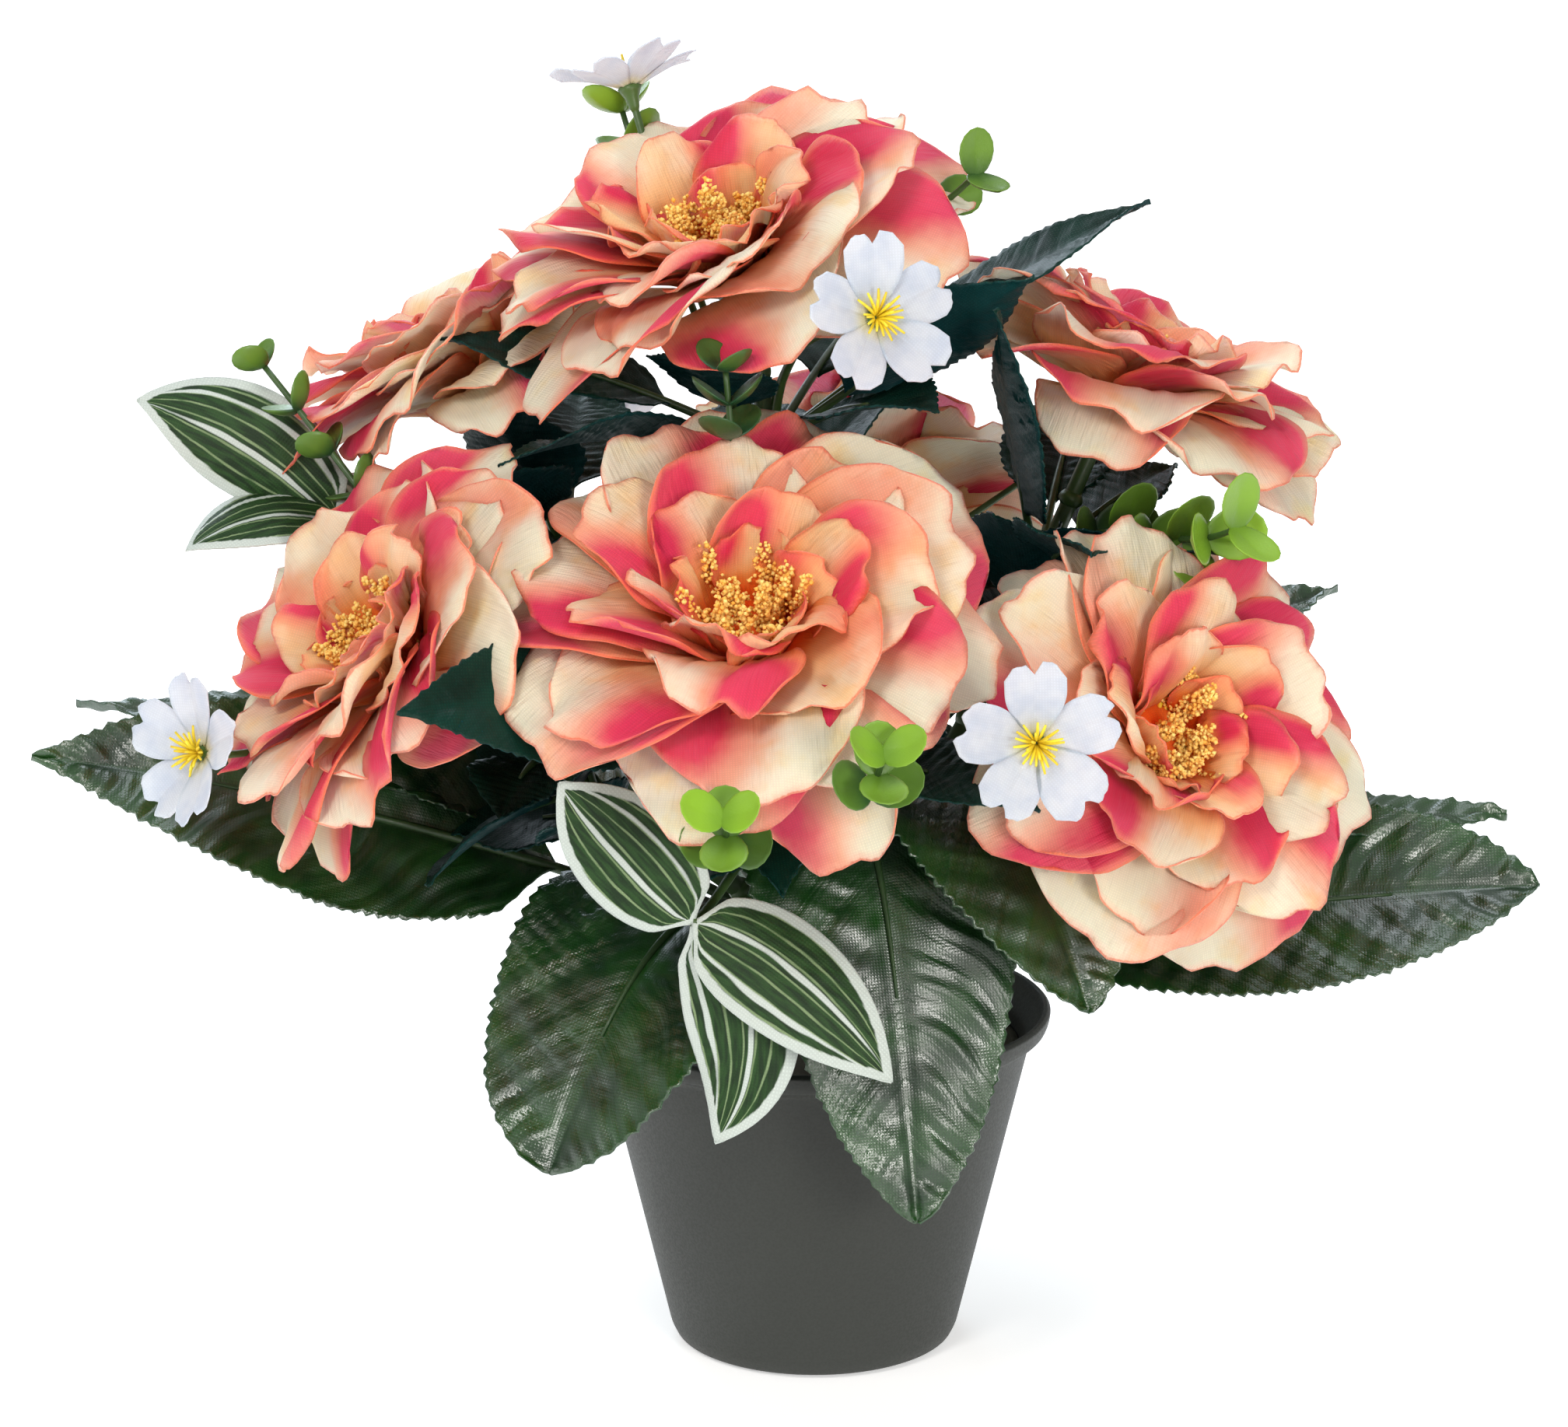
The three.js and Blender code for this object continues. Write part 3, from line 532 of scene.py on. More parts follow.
# Where the stamens are, the way the bloom faces, its radius, the spin of its rings, the turns of its low
# petals and how far along its branch the leaves stand.
blooms = {
    "top": {"place": (-60, 30, 313), "facing": (-38, 64), "radius": 64, "spin": 22,
            "droop": (-108,), "leavesAt": 0.72},
    "front": {"place": (-11, 90, 228), "facing": (-2, 55), "radius": 66, "spin": 6,
              "droop": (-68,), "leavesAt": 0.66},
    "right": {"place": (57, 113, 187), "facing": (34, 26), "radius": 60, "spin": 25,
              "droop": (110,), "leavesAt": 0.66},
    "left": {"place": (-65, 128, 212), "facing": (-60, 38), "radius": 59, "spin": 15,
             "droop": (-126, -80), "leavesAt": 0.66},
    "back_right": {"place": (107, 91, 271), "facing": (100, 66), "radius": 60, "spin": 40,
                   "droop": (164, -154, -118), "leavesAt": 0.7},
    "back_left": {"place": (-111, 105, 273), "facing": (-100, 64), "radius": 58, "spin": 5,
                  "droop": (24, -16), "leavesAt": 0.7},
    "back": {"place": (172, 108, 214), "facing": (174, 40), "radius": 60, "spin": 30,
             "droop": (-100,), "leavesAt": 0.66},
}
for name, bloom in blooms.items():
    bloom["axis"] = looking(*bloom["facing"])
    bloom["scale"] = bloom["radius"] / 65
    bloom["foot"] = place(*bloom["place"]) - bloom["axis"] * limb["heart"] * bloom["scale"]
    away = looking(bloom["place"][0], 80 if name == "top" else 40)
    fork, tip = upward * limb["forkHeight"], bloom["foot"] - bloom["axis"] * limb["gap"]
    low, high = limb["bends"]
    bloom["branch"] = bezier(fork, fork + away * low, tip - bloom["axis"] * high, tip)


def makeBush():
    stem = turnedForm(stemProfile, 28, {"tone": 0.35})
    addPiece("moulded_stem", [stem], stemPlastic, ["main_stem"])
    for name, bloom in blooms.items():
        curve, half = bloom["branch"], limb["sleeveHalf"]
        parts = [tube(curve, limb["radii"], 10, 40, (limb["leaves"], 1), 0.4)]
        for share in limb["sleeves"]:  # moulded rings where the sleeves of the bush meet
            parts.append(tube(curve, limb["sleeve"], 10, 6, (share - half, share + half), 0.55))
        addPiece("limb_" + name, parts, stemPlastic, ["branch_" + name])


# Rings of a bloom of 65 mm radius. Its petals lean from its axis by one angle at the root and by
# another at the tip. A ring is warmer the more heart it has. The heart is partly the dyed base of the
# petals and partly painted shade: the warm glow in the shaded petal roots.
petalRings = [
    {"count": 8, "length": 57, "width": 56, "lean": (58, 114), "height": 12.5, "heart": 0.02, "ruffle": 1.0},
    {"count": 7, "length": 52, "width": 50, "lean": (46, 98), "height": 14, "heart": 0.1, "ruffle": 1.15},
    {"count": 7, "length": 42, "width": 42, "lean": (32, 80), "height": 15.5, "heart": 0.24, "ruffle": 1.2},
    {"count": 6, "length": 31, "width": 33, "lean": (14, 54), "height": 16.5, "heart": 0.42, "ruffle": 1.3},
    {"count": 5, "length": 20, "width": 23, "lean": (6, 34), "height": 17, "heart": 0.62, "ruffle": 1.0},
]
lowPetal = {"length": 58, "width": 42, "lean": (66, 130), "height": 11.5, "heart": -0.1, "ruffle": 0.7}
petal = {
    "rootRadius": 11, "roll": 13, "rows": 22, "cols": 16, "thickness": 0.4, "pleats": 0.34, "cup": 0.16,
    "crease": 0.9, "tipArc": (0.14, 0.26), "torn": (0.024, 0.007), "curl": (-2.5, 3.5), "ringTurn": 31,
    "stains": [0.5, 0.9, 1.1, 1.2, 1.3],
}
bloomSeat = [(0, 12), (11, 12.5), (13.5, 14), (13, 16), (9, 18), (4, 19.5), (0, 20)]
bloomCup = [(2.2, 0), (3.6, 1.5), (5.4, 5), (7.2, 9), (9.5, 12.5), (8, 15), (4, 15.5), (0, 15.6)]


def petalPatch(bloom, ring, turn, draw):
    s = bloom["scale"]
    length = ring["length"] * s * draw.uniform(0.95, 1.1)
    width = ring["width"] * s * draw.uniform(0.92, 1.16)
    sway = draw.uniform(-8, 7)
    low, high = (math.radians(a + sway) for a in ring["lean"])
    bend = high - low
    axis = bloom["axis"]
    radial = turned(levelSide(axis), axis, turn)
    root = bloom["foot"] + axis * ring["height"] * s + radial * petal["rootRadius"] * s

    t = np.linspace(0, 1, petal["rows"] + 1)[:, None]
    v = np.linspace(-1, 1, petal["cols"] + 1)[None, :]
    v = np.sign(v) * np.abs(v) ** 0.85  # finer near the margins
    tipArc = 1 - draw.uniform(*petal["tipArc"]) * np.abs(v) ** 2.5  # a rounded tip
    lobes = draw.uniform(1.5, 3.2), draw.uniform(0, 6.28)
    coarse, fine = petal["torn"]
    torn = coarse * np.sin(lobes[0] * 2.4 * v + lobes[1]) + fine * np.sin(13 * v + lobes[1] * 2)
    u = t * (tipArc + torn)
    half = width / 2 * (0.22 + 0.78 * smooth(-0.3, 0.6, t) ** 0.9) * (1 - 0.3 * t ** 6)
    half = half * (1 + 0.02 * np.sin(t * 9 + lobes[1]) + 0.008 * np.sin(t * 25 + lobes[0]))

    angle = low + bend * u
    out = length * (math.cos(low) - np.cos(angle)) / bend
    rise = length * (np.sin(angle) - math.sin(low)) / bend
    along = radial * np.sin(angle)[..., None] + axis * np.cos(angle)[..., None]
    face = axis * np.sin(angle)[..., None] - radial * np.cos(angle)[..., None]
    roll = petal["roll"] + draw.uniform(-5, 5) + draw.uniform(-9, 9) * smooth(0.3, 1, u)
    cosine, sine = np.cos(np.radians(roll))[..., None], np.sin(np.radians(roll))[..., None]
    across = np.cross(face, along)
    across, face = across * cosine + face * sine, face * cosine - across * sine

    ruffle = ring["ruffle"] * s
    waves = [(draw.uniform(1.8, 3.4), draw.uniform(0, 6.28), draw.uniform(1.4, 3.4)) for _ in range(3)]
    curl = draw.uniform(*petal["curl"]) * s * min(1.0, ring["length"] / 45)  # back, or up, at the tip
    lift = petal["cup"] * v * v * half * (1.2 - u) - curl * smooth(0.55, 1.1, u) ** 1.5
    loose = ruffle * smooth(0.25, 1.0, u) * (0.35 + 0.65 * np.abs(v))
    for k, (rate, phase, height) in enumerate(waves):
        wave = np.sin(rate * (k + 1) * 0.9 * v + phase + 1.5 * k * u)
        lift = lift + loose * height * wave / (1 + 0.45 * k)
    edge = np.maximum(smooth(0.8, 1, np.abs(v)), smooth(0.85, 1, t))
    lift = lift + edge * ruffle * 0.9 * np.sin(u * draw.uniform(9, 15) + v * 8 + waves[0][1])
    folds = petal["pleats"] * (1 - smooth(0.5, 0.95, u)) * smooth(0.02, 0.15, u)
    lift = lift + folds * np.sin(v * 30 + waves[1][1]) + folds * 0.6 * np.sin(v * 47 + waves[2][1])
    crease = np.exp(-((v - draw.uniform(-0.5, 0.5)) / 0.09) ** 2)
    lift = lift - petal["crease"] * s * crease * smooth(0.1, 0.4, u) * (1 - smooth(0.5, 0.9, u))
    middle = root + radial * out[..., None] + axis * rise[..., None]
    points = middle + across * (v * half)[..., None] + face * lift[..., None]

    side = draw.choice([-1, 1]) if draw.random() < 0.35 else 1
    stain = draw.choice(petal["stains"])
    spotU, spotV = draw.uniform(0.45, 0.85), draw.uniform(0.55, 1.0) * side
    spread = ((u - spotU) / 0.46) ** 2 + ((v - spotV) / draw.uniform(0.6, 0.85)) ** 2
    margin = np.minimum((1 - np.abs(v)) * half, (1 - t) * length * 0.95)
    values = {
        # The heart rises towards the root. It is partly the dyed base and partly painted shade: the warm glow
        # where the petals shade one another.
        "heart": ring["heart"] + draw.uniform(-0.08, 0.12) + 0.85 * smooth(0.78, 0.04, u),
        "blush": stain * np.exp(-spread), "margin": margin + 6 * smooth(0.3, 0.0, t),
    }
    shift = np.array([draw.uniform(0, 400), draw.uniform(0, 400)])
    cloth = np.stack([v * half, np.broadcast_to(u * length, (v * half).shape)], -1) + shift
    return thinSheet(points, petal["thickness"], values, cloth=cloth)


pollen = {
    "clumps": 24, "grains": 84, "grain": 0.72, "reach": (9, 18), "inner": (2, 7), "foot": 18, "top": (27, 37),
    "spread": 2.5, "turnEach": 0.618, "bakeGrid": (29, 21),
}
grainPoints = np.array([(1, 0, 0), (0, 1, 0), (-1, 0, 0), (0, -1, 0), (0, 0, 1), (0, 0, -1)], float)
grainFaces = [(0, 1, 4), (1, 2, 4), (2, 3, 4), (3, 0, 4), (1, 0, 5), (2, 1, 5), (3, 2, 5), (0, 3, 5)]


def pollenPatches(bloom, draw):
    # Crumbly golden clumps on short filaments, standing in a loose ring and leaning out.
    s, axis = bloom["scale"], bloom["axis"]
    side = levelSide(axis)
    patches, threads = [], []
    for k in range(pollen["clumps"]):
        angle = 2 * math.pi * (k * pollen["turnEach"] + draw.uniform(-0.05, 0.05))
        radial = turned(side, axis, angle)
        reach = draw.uniform(*pollen["reach" if k % 4 else "inner"]) * s
        top = draw.uniform(*pollen["top"]) * s
        start = bloom["foot"] + axis * pollen["foot"] * s + radial * reach * 0.72
        end = bloom["foot"] + axis * top + radial * reach
        thread = bezier(bloom["foot"] + axis * 13 * s + radial * 4, start)
        threads.append(tube(thread, [0.9, 0.7], 6, 4, tone=0.2))
        points, faces = [], []
        for g in range(pollen["grains"]):
            along = draw.uniform(0, 1)
            spread = pollen["spread"] * s * (0.5 + 0.5 * math.sin(math.pi * min(1, along * 0.8 + 0.15)))
            off = unit(np.array([draw.gauss(0, 1) for _ in range(3)])) * spread * draw.uniform(0.5, 1.05)
            middle = start + (end - start) * along + off
            size = pollen["grain"] * draw.uniform(0.7, 1.25)
            spin = unit(np.array([draw.gauss(0, 1) for _ in range(3)]))
            grain = turned(grainPoints, spin, draw.uniform(0, 3)) * size + middle
            faces += [[i + 6 * g for i in face] for face in grainFaces]
            points.append(grain)
        tone = np.repeat([draw.uniform(0.2, 1.0) for _ in range(pollen["grains"])], 6)
        corner, (across, down) = np.arange(6 * pollen["grains"]), pollen["bakeGrid"]
        ownMap = pairs(corner % across / (across - 1), corner // across / (down - 1))
        patches.append({"points": np.concatenate(points), "faces": faces, "corners": faces, "flat": 0,
                        "maps": {"OFBake": ownMap}, "values": {"tone": tone}})
    return patches, threads


def makeBloom(index, name):
    bloom = blooms[name]
    draw = random.Random(500 + index)
    patches = []
    for turn in bloom["droop"]:
        patches.append(petalPatch(bloom, lowPetal, math.radians(turn + draw.uniform(-5, 5)), draw))
    for level, ring in enumerate(petalRings):
        for k in range(ring["count"]):
            turn = 360 * (k + draw.uniform(-0.08, 0.08)) / ring["count"]
            turn = bloom["spin"] + (level + 1) * petal["ringTurn"] + turn
            patches.append(petalPatch(bloom, ring, math.radians(turn), draw))
    s = bloom["scale"]
    seat, cup = ([(r * s, z * s) for r, z in form] for form in (bloomSeat, bloomCup))
    warm = {"heart": 1.3, "blush": 0.0, "margin": 9.0}
    patches.append(turnedForm(seat, 20, warm, bloom["foot"], bloom["axis"]))
    addPiece("petals_" + name, patches, petalSatin, ["bloom_" + name])
    clumps, threads = pollenPatches(bloom, draw)
    addPiece("pollen_" + name, clumps, pollenGold)
    cup = turnedForm(cup, 24, {"tone": 0.5}, bloom["foot"], bloom["axis"])
    addPiece("cup_" + name, [cup], stemPlastic)
    addPiece("threads_" + name, threads, filamentYellow)


leafThickness = 0.45


def leafPatch(curve, hint, cut, draw):
    # A leaf along the curve. Its face looks the way of the hint, rolled by an angle.
    t = np.linspace(0, 1, cut["rows"] + 1)
    v = np.linspace(-1, 1, cut["cols"] + 1)
    v = np.sign(v) * (1 - (1 - np.abs(v)) ** 1.25)
    share = cut["petiole"] + (1 - cut["petiole"]) * t
    middle, along = curve(share), way(curve, share)
    face = unit(hint - along * np.sum(hint * along, -1, keepdims=True))
    rolled = math.radians(cut["roll"])
    face = face * math.cos(rolled) + np.cross(along, face) * math.sin(rolled)
    across = np.cross(face, along)
    length = np.concatenate([[0], np.cumsum(np.linalg.norm(np.diff(middle, axis=0), axis=-1))])
    half = cut["width"] / 2 * np.sin(np.pi * (t * 0.93 + 0.03) ** 0.8) ** cut["blunt"]
    steep, blunted = cut["taper"]
    half = half * (0.12 + 0.88 * smooth(-0.02, 0.1, t)) * (0.05 + 0.95 * (1 - t ** steep) ** blunted)
    teeth, pleat = cut["teeth"], cut["pleat"]
    tooth = (length / teeth[0]) % 1.0 if teeth else np.zeros_like(t)
    t, half, length, v = t[:, None], half[:, None], length[:, None], v[None, :]
    if teeth:  # each tooth leans towards the tip
        saw = np.where(tooth < 0.72, tooth / 0.72, (1 - tooth) / 0.28)[:, None]
        nearMargin = smooth(0.86, 1.0, np.abs(v)) * smooth(0.0, 0.08, t) * (half > 3)
        half = half + (saw - 0.5) * teeth[1] * nearMargin
    side = v * half
    slope = length - np.abs(side) * (0.72 + 0.35 * np.abs(v))
    spacing = length[-1, 0] / cut["veins"]
    phase = draw.uniform(0, 1)
    crumple = [draw.uniform(0, 6.28) for _ in range(4)]
    slope = slope + 0.14 * spacing * np.sin(length * 0.11 + side * 0.13 + crumple[0])
    uneven = np.sin(side * 0.16 + length * 0.06 + crumple[1])
    uneven = uneven * np.sin(length * 0.09 - side * 0.1 + crumple[2])
    rib = np.abs(np.sin(np.pi * (slope / spacing + phase)))
    window = smooth(0.03, 0.35, np.abs(v)) * (1 - 0.45 * smooth(0.75, 1.0, np.abs(v))) * smooth(0, 0.1, t)
    lift = cut["fold"] * v * v * half + pleat * window * (0.625 + 0.375 * uneven) * (rib ** 0.8 - 0.5)
    patchy = np.sin(side * 0.33 - length * 0.21 + crumple[3]) * np.sin(length * 0.37)
    lift = lift + pleat * 0.35 * window * patchy
    lift = lift - pleat * 0.8 * np.exp(-(side / 1.6) ** 2)
    sway = np.sin(t * draw.uniform(7, 11) + draw.uniform(0, 6) + np.sign(v))
    lift = lift + cut["wave"] * v * v * sway
    lift = lift + pleat * 0.3 * window * np.sin(slope * 2 * np.pi / spacing * 2.1 + 3.1 * v + 6 * t)
    points = middle[:, None] + across[:, None] * side[..., None] + face[:, None] * lift[..., None]
    vein = np.maximum(np.exp(-(side / 0.8) ** 2), 0.8 * (1 - smooth(0.0, 0.16, rib)) * window)
    values = {"margin": (1 - np.abs(v)) * half + 0 * t, "vein": vein, "across": v * np.ones_like(t)}
    shift = draw.uniform(0, 300)
    cloth = np.stack([side, np.broadcast_to(length, side.shape)], -1) + shift
    folds = np.stack([slope, side * 0.22], -1) + shift  # runs along the side veins
    return thinSheet(points, leafThickness, values, cloth=cloth, folds=folds)


collar = {
    "petiole": 0.34, "rows": 128, "cols": 26, "teeth": (3.6, 1.5), "pleat": 1.8, "veins": 8, "wave": 1.8,
    "fold": 0.1, "blunt": 0.7, "taper": (4.5, 0.75), "bluntTaper": (14, 0.6), "stalkDrop": 0.9,
}
collarLeaves = {  # height of the root, tip, arch, width, roll and, where the tip is broad, how blunt it is
    "left": (106, (-81, 210, 174), 18, 64, -46, None),
    "left_upper": (112, (-93, 202, 178), 24, 48, -10, None),
    "front_left": (104, (-40, 109, 75), 84, 80, -4, 0.36),
    "front": (106, (17, 90, 62), 150, 72, 6, 0.5),
    "front_right": (112, (42, 106, 117), 112, 66, 14, 0.55),
    "right": (102, (84, 196, 135), 10, 60, 42, 0.6),
    "right_upper": (110, (95, 192, 145), 20, 48, 8, None),
    "back_right": (114, (116, 166, 196), 26, 52, 10, None),
    "back": (104, (152, 172, 128), 50, 60, 0, None),
    "back_low": (106, (-172, 140, 84), 90, 64, 0, None),
    "back_left": (108, (-128, 186, 150), 34, 60, 0, None),
}


def makeCollar():
    for index, (name, (root, tip, arch, width, roll, blunt)) in enumerate(collarLeaves.items()):
        draw = random.Random(40 + index)
        curve = arched(upward * root, place(*tip), arch)
        cut = {**collar, "width": width, "roll": roll}
        if blunt:
            cut["blunt"], cut["taper"] = blunt, collar["bluntTaper"]
        sheet = leafPatch(curve, upward, cut, draw)
        addPiece("collar_cloth_" + name, [sheet], collarSatin, ["collar_leaf_" + name])
        sides, steps = 8, 26
        stalk = tube(curve, [1.7, 1.6, 1.5, 1.0, 0.4], sides, steps, (0.02, 0.8), 0.3)
        sunk = np.linspace(0, 1, steps + 1).repeat(sides)[:, None]  # lies under the leaf
        stalk["points"] = stalk["points"] - upward * collar["stalkDrop"] * sunk
        addPiece("collar_stalk_" + name, [stalk], stemPlastic)


upper = {
    "petiole": 0.3, "rows": 66, "cols": 12, "teeth": (3.2, 1.1), "pleat": 0.8, "veins": 9, "wave": 1.0,
    "fold": 0.12, "blunt": 0.75, "taper": (4.5, 0.75),
    "sleeve": [2.9, 3.7, 3.9, 3.7, 2.9], "sleeveHalf": 0.03,  # the ring on the branch that holds them
}
upperLeaves = {  # tip, arch, width, roll
    "top": [((-64, 92, 254), 12, 40, 18), ((-40, 60, 284), 8, 36, 0), ((-84, 100, 282), 8, 32, -20),
            ((26, 70, 272), 12, 34, 10), ((58, 66, 302), 4, 36, -35), ((98, 90, 315), 9, 32, 8),
            ((160, 84, 290), 10, 36, 0)],
    "front": [((-41, 157, 207), 16, 36, -58), ((30, 112, 176), 12, 34, 12)],
    "right": [((86, 124, 214), 10, 34, 10), ((58, 96, 128), 14, 34, 0)],
    "left": [((-92, 128, 190), 12, 34, -10), ((-60, 96, 160), 10, 32, 0)],
    "back_right": [((43, 68, 296), -10, 34, -60), ((84, 62, 214), 6, 28, 60), ((140, 120, 250), 10, 36, 0),
                   ((72, 116, 228), 10, 36, 0), ((50, 92, 234), 8, 32, -20), ((112, 108, 238), 8, 38, 0)],
    "back_left": [((-78, 92, 244), 8, 36, 30), ((-96, 90, 264), 6, 42, 10), ((-98, 118, 240), 8, 34, 20),
                  ((-146, 118, 250), 10, 36, 0)],
    "back": [((150, 138, 196), 12, 36, 0), ((-166, 140, 190), 12, 36, 0)],
}
tuft = {"share": 0.16, "count": 7, "lean": (42, 72), "length": (46, 66), "width": (26, 34), "roll": (-15, 15)}
tuftCut = {
    "petiole": 0.25, "rows": 44, "cols": 14, "teeth": (3.2, 1.0), "pleat": 0.6, "veins": 8, "wave": 0.8,
    "fold": 0.12, "blunt": 0.75, "taper": (4.5, 0.75),
}


def tuftLeaves(bloom, draw):
    # Small leaves round the branch under the large ones, so that no side of the bush looks bare.
    sheets, stalks = [], []
    for k in range(tuft["count"]):
        share = bloom["leavesAt"] - tuft["share"] * (0.7 + 0.6 * (k % 2))
        root, along = bloom["branch"](share), way(bloom["branch"], share)
        turn = 2 * math.pi * (k + draw.uniform(-0.2, 0.2)) / tuft["count"]
        radial = turned(unit(np.cross(along, upward)), along, turn)
        lean = math.radians(draw.uniform(*tuft["lean"]))
        length = draw.uniform(*tuft["length"])
        tip = root + (along * math.cos(lean) + radial * math.sin(lean)) * length
        curve = bezier(root, root + (along * 0.8 + radial * 0.6) * length * 0.5, tip)
        cut = {**tuftCut, "width": draw.uniform(*tuft["width"]), "roll": draw.uniform(*tuft["roll"])}
        sheets.append(leafPatch(curve, along, cut, draw))
        stalks.append(tube(curve, [1.2, 1.0, 0.5], 6, 8, (0, 0.5), 0.4))
    return sheets, stalks


def makeUpperLeaves():
    for index, (name, leaves) in enumerate(upperLeaves.items()):
        draw = random.Random(80 + index)
        bloom = blooms[name]
        at, half = bloom["leavesAt"], upper["sleeveHalf"]
        middle = bloom["branch"](at)
        sheets, stalks = [], [tube(bloom["branch"], upper["sleeve"], 12, 8, (at - half, at + half))]
        for tip, arch, width, roll in leaves:
            curve = arched(middle, place(*tip), arch)
            sheets.append(leafPatch(curve, upward, {**upper, "width": width, "roll": roll}, draw))
            stalks.append(tube(curve, [1.4, 1.2, 1.1, 0.5], 7, 14, (0, 0.6), 0.4))
        more, moreStalks = tuftLeaves(bloom, draw)
        sheets, stalks = sheets + more, stalks + moreStalks
        addPiece("leaf_cloth_" + name, sheets, leafSatin, ["leaves_" + name])
        addPiece("leaf_stalks_" + name, stalks, stemPlastic)


def stalkCurve(host, at, bow, end, endWay=None):
    # A stalk leaves its branch along it and bows up before it turns to its end.
    root, leaving = blooms[host]["branch"](at), way(blooms[host]["branch"], at)
    reach = np.linalg.norm(end - root)
    if endWay is None:
        endWay = unit(end - root)
    return bezier(root, root + leaving * reach * 0.35 + upward * bow, end - endWay * reach * 0.35, end)


white = {
    "petals": 5, "radius": 20.4, "width": 15.6, "root": 2.2, "cup": 24, "rows": 16, "cols": 14,
    "thickness": 0.35, "threads": 24, "threadLength": (7.5, 10),
    "calyx": [(0.9, -6.5), (1.5, -5), (1.9, -2.5), (2.8, -0.8), (3.4, 0.4), (2.0, 1.2), (0, 1.4)],
}
whiteFlowers = {  # host branch, share of it, place, facing, bow
    "top": ("top", 0.45, (-125, 61, 342), (-140, 68), 10),
    "front_top": ("top", 0.62, (10, 80, 298), (20, 20), 22),
    "left": ("left", 0.62, (-67, 171, 183), (-44, 16), 16),
    "front_right": ("right", 0.5, (23, 136, 201), (4, 4), 10),
    "back": ("back", 0.6, (140, 132, 246), (146, 40), 14),
    "back_left": ("back_left", 0.6, (-152, 128, 232), (-150, 35), 14),
}


def whitePetal(centre, axis, radial, draw):
    cup = math.radians(white["cup"] + draw.uniform(-7, 7))
    along = radial * math.cos(cup) + axis * math.sin(cup)
    face = axis * math.cos(cup) - radial * math.sin(cup)
    across = np.cross(face, along)
    t = np.linspace(0, 1, white["rows"] + 1)[:, None]
    v = np.linspace(-1, 1, white["cols"] + 1)[None, :]
    length = white["radius"] / math.cos(cup) * draw.uniform(0.94, 1.02)
    notch, torn = 0.15 * np.exp(-(v / 0.2) ** 2), 0.015 * np.sin(v * 14 + draw.uniform(0, 6))
    u = t * (1 - notch - 0.2 * np.abs(v) ** 3 + torn)
    widening = 0.2 + 0.8 * np.sin(np.pi / 2 * np.minimum(1, t / 0.8))
    half = white["width"] / 2 * widening * draw.uniform(0.92, 1.08)
    lift = 0.14 * v * v * half + 0.7 * smooth(0.4, 1, u) * np.sin(v * 4 + draw.uniform(0, 6))
    lift = lift - 2.4 * u ** 3 * draw.uniform(0.0, 1.0) + 0.12 * np.sin(v * 24) * (1 - u)
    lift = lift - 0.5 * np.exp(-(v / 0.14) ** 2)
    reach = white["root"] + (length - white["root"]) * u
    points = centre + along * reach[..., None] + across * (v * half)[..., None] + face * lift[..., None]
    cloth = np.stack([v * half, reach], -1) + draw.uniform(0, 300)
    return thinSheet(points, white["thickness"], {"heart": 1 - u}, cloth=cloth)


def makeWhiteFlowers():
    for index, (name, (host, at, where, facing, bow)) in enumerate(whiteFlowers.items()):
        draw = random.Random(200 + index)
        axis, centre = looking(*facing), place(*where)
        side = levelSide(axis)
        turns = [2 * math.pi * (k + 0.3) / white["petals"] for k in range(white["petals"])]
        petals = [whitePetal(centre, axis, turned(side, axis, turn), draw) for turn in turns]
        addPiece("white_petals_" + name, petals, whiteCloth, ["white_flower_" + name])
        threads = []
        for k in range(white["threads"]):
            radial = turned(side, axis, k * 2.4)
            lean = math.radians(8 + 42 * math.sqrt((k + 0.5) / white["threads"]) + draw.uniform(-6, 6))
            aim = axis * math.cos(lean) + radial * math.sin(lean)
            length = draw.uniform(*white["threadLength"])
            bend = centre + axis * length * 0.5 + radial * 0.6
            curve = bezier(centre + radial * 0.5, bend, centre + aim * length)
            threads.append(tube(curve, [0.28, 0.28, 0.36, 0.46, 0.3], 5, 6, tone=draw.uniform(0.3, 1)))
        addPiece("white_threads_" + name, threads, filamentYellow)
        curve = stalkCurve(host, at, bow, centre, axis)
        stalk = [tube(curve, [1.3, 1.0, 1.0], 8, 30, tone=0.75)]
        stalk.append(turnedForm(white["calyx"], 14, {"tone": 1.0}, centre, axis))
        addPiece("white_stalk_" + name, stalk, stemPlastic)


boxCut = {"length": 13, "width": 12, "rows": 10, "cols": 16, "halfThickness": 0.65}
boxSprigs = {  # host, share, tip, bow, pairs, where they start, size, facing, greenness of the tip
    "top": ("top", 0.4, (-131, 70, 336), 8, 3, 0.84, 1.2, None, 0.9),
    "top_right": ("top", 0.7, (76, 43, 325), 6, 4, 0.5, 1.15, (30, 35), 0.5),
    "left": ("left", 0.5, (-91, 148, 273), 16, 7, 0.4, 0.98, None, 0.4),
    "middle": ("front", 0.7, (-20, 68, 283), 6, 3, 0.82, 1.0, None, 0.15),
    "right": ("back_right", 0.62, (67, 118, 238), 12, 6, 0.4, 1.4, (40, 30), 1.0),
    "low_front": ("front", 0.35, (-9, 149, 188), -10, 3, 0.8, 1.15, (-5, 42), 0.95),
    "low_right": ("front", 0.38, (6, 149, 204), -8, 3, 0.84, 1.15, (8, 48), 1.0),
    "back": ("back", 0.6, (176, 92, 278), 6, 6, 0.4, 1, None, 0.8),
    "back_left": ("back_left", 0.5, (-140, 140, 214), 6, 6, 0.4, 1, None, 0.8),
}


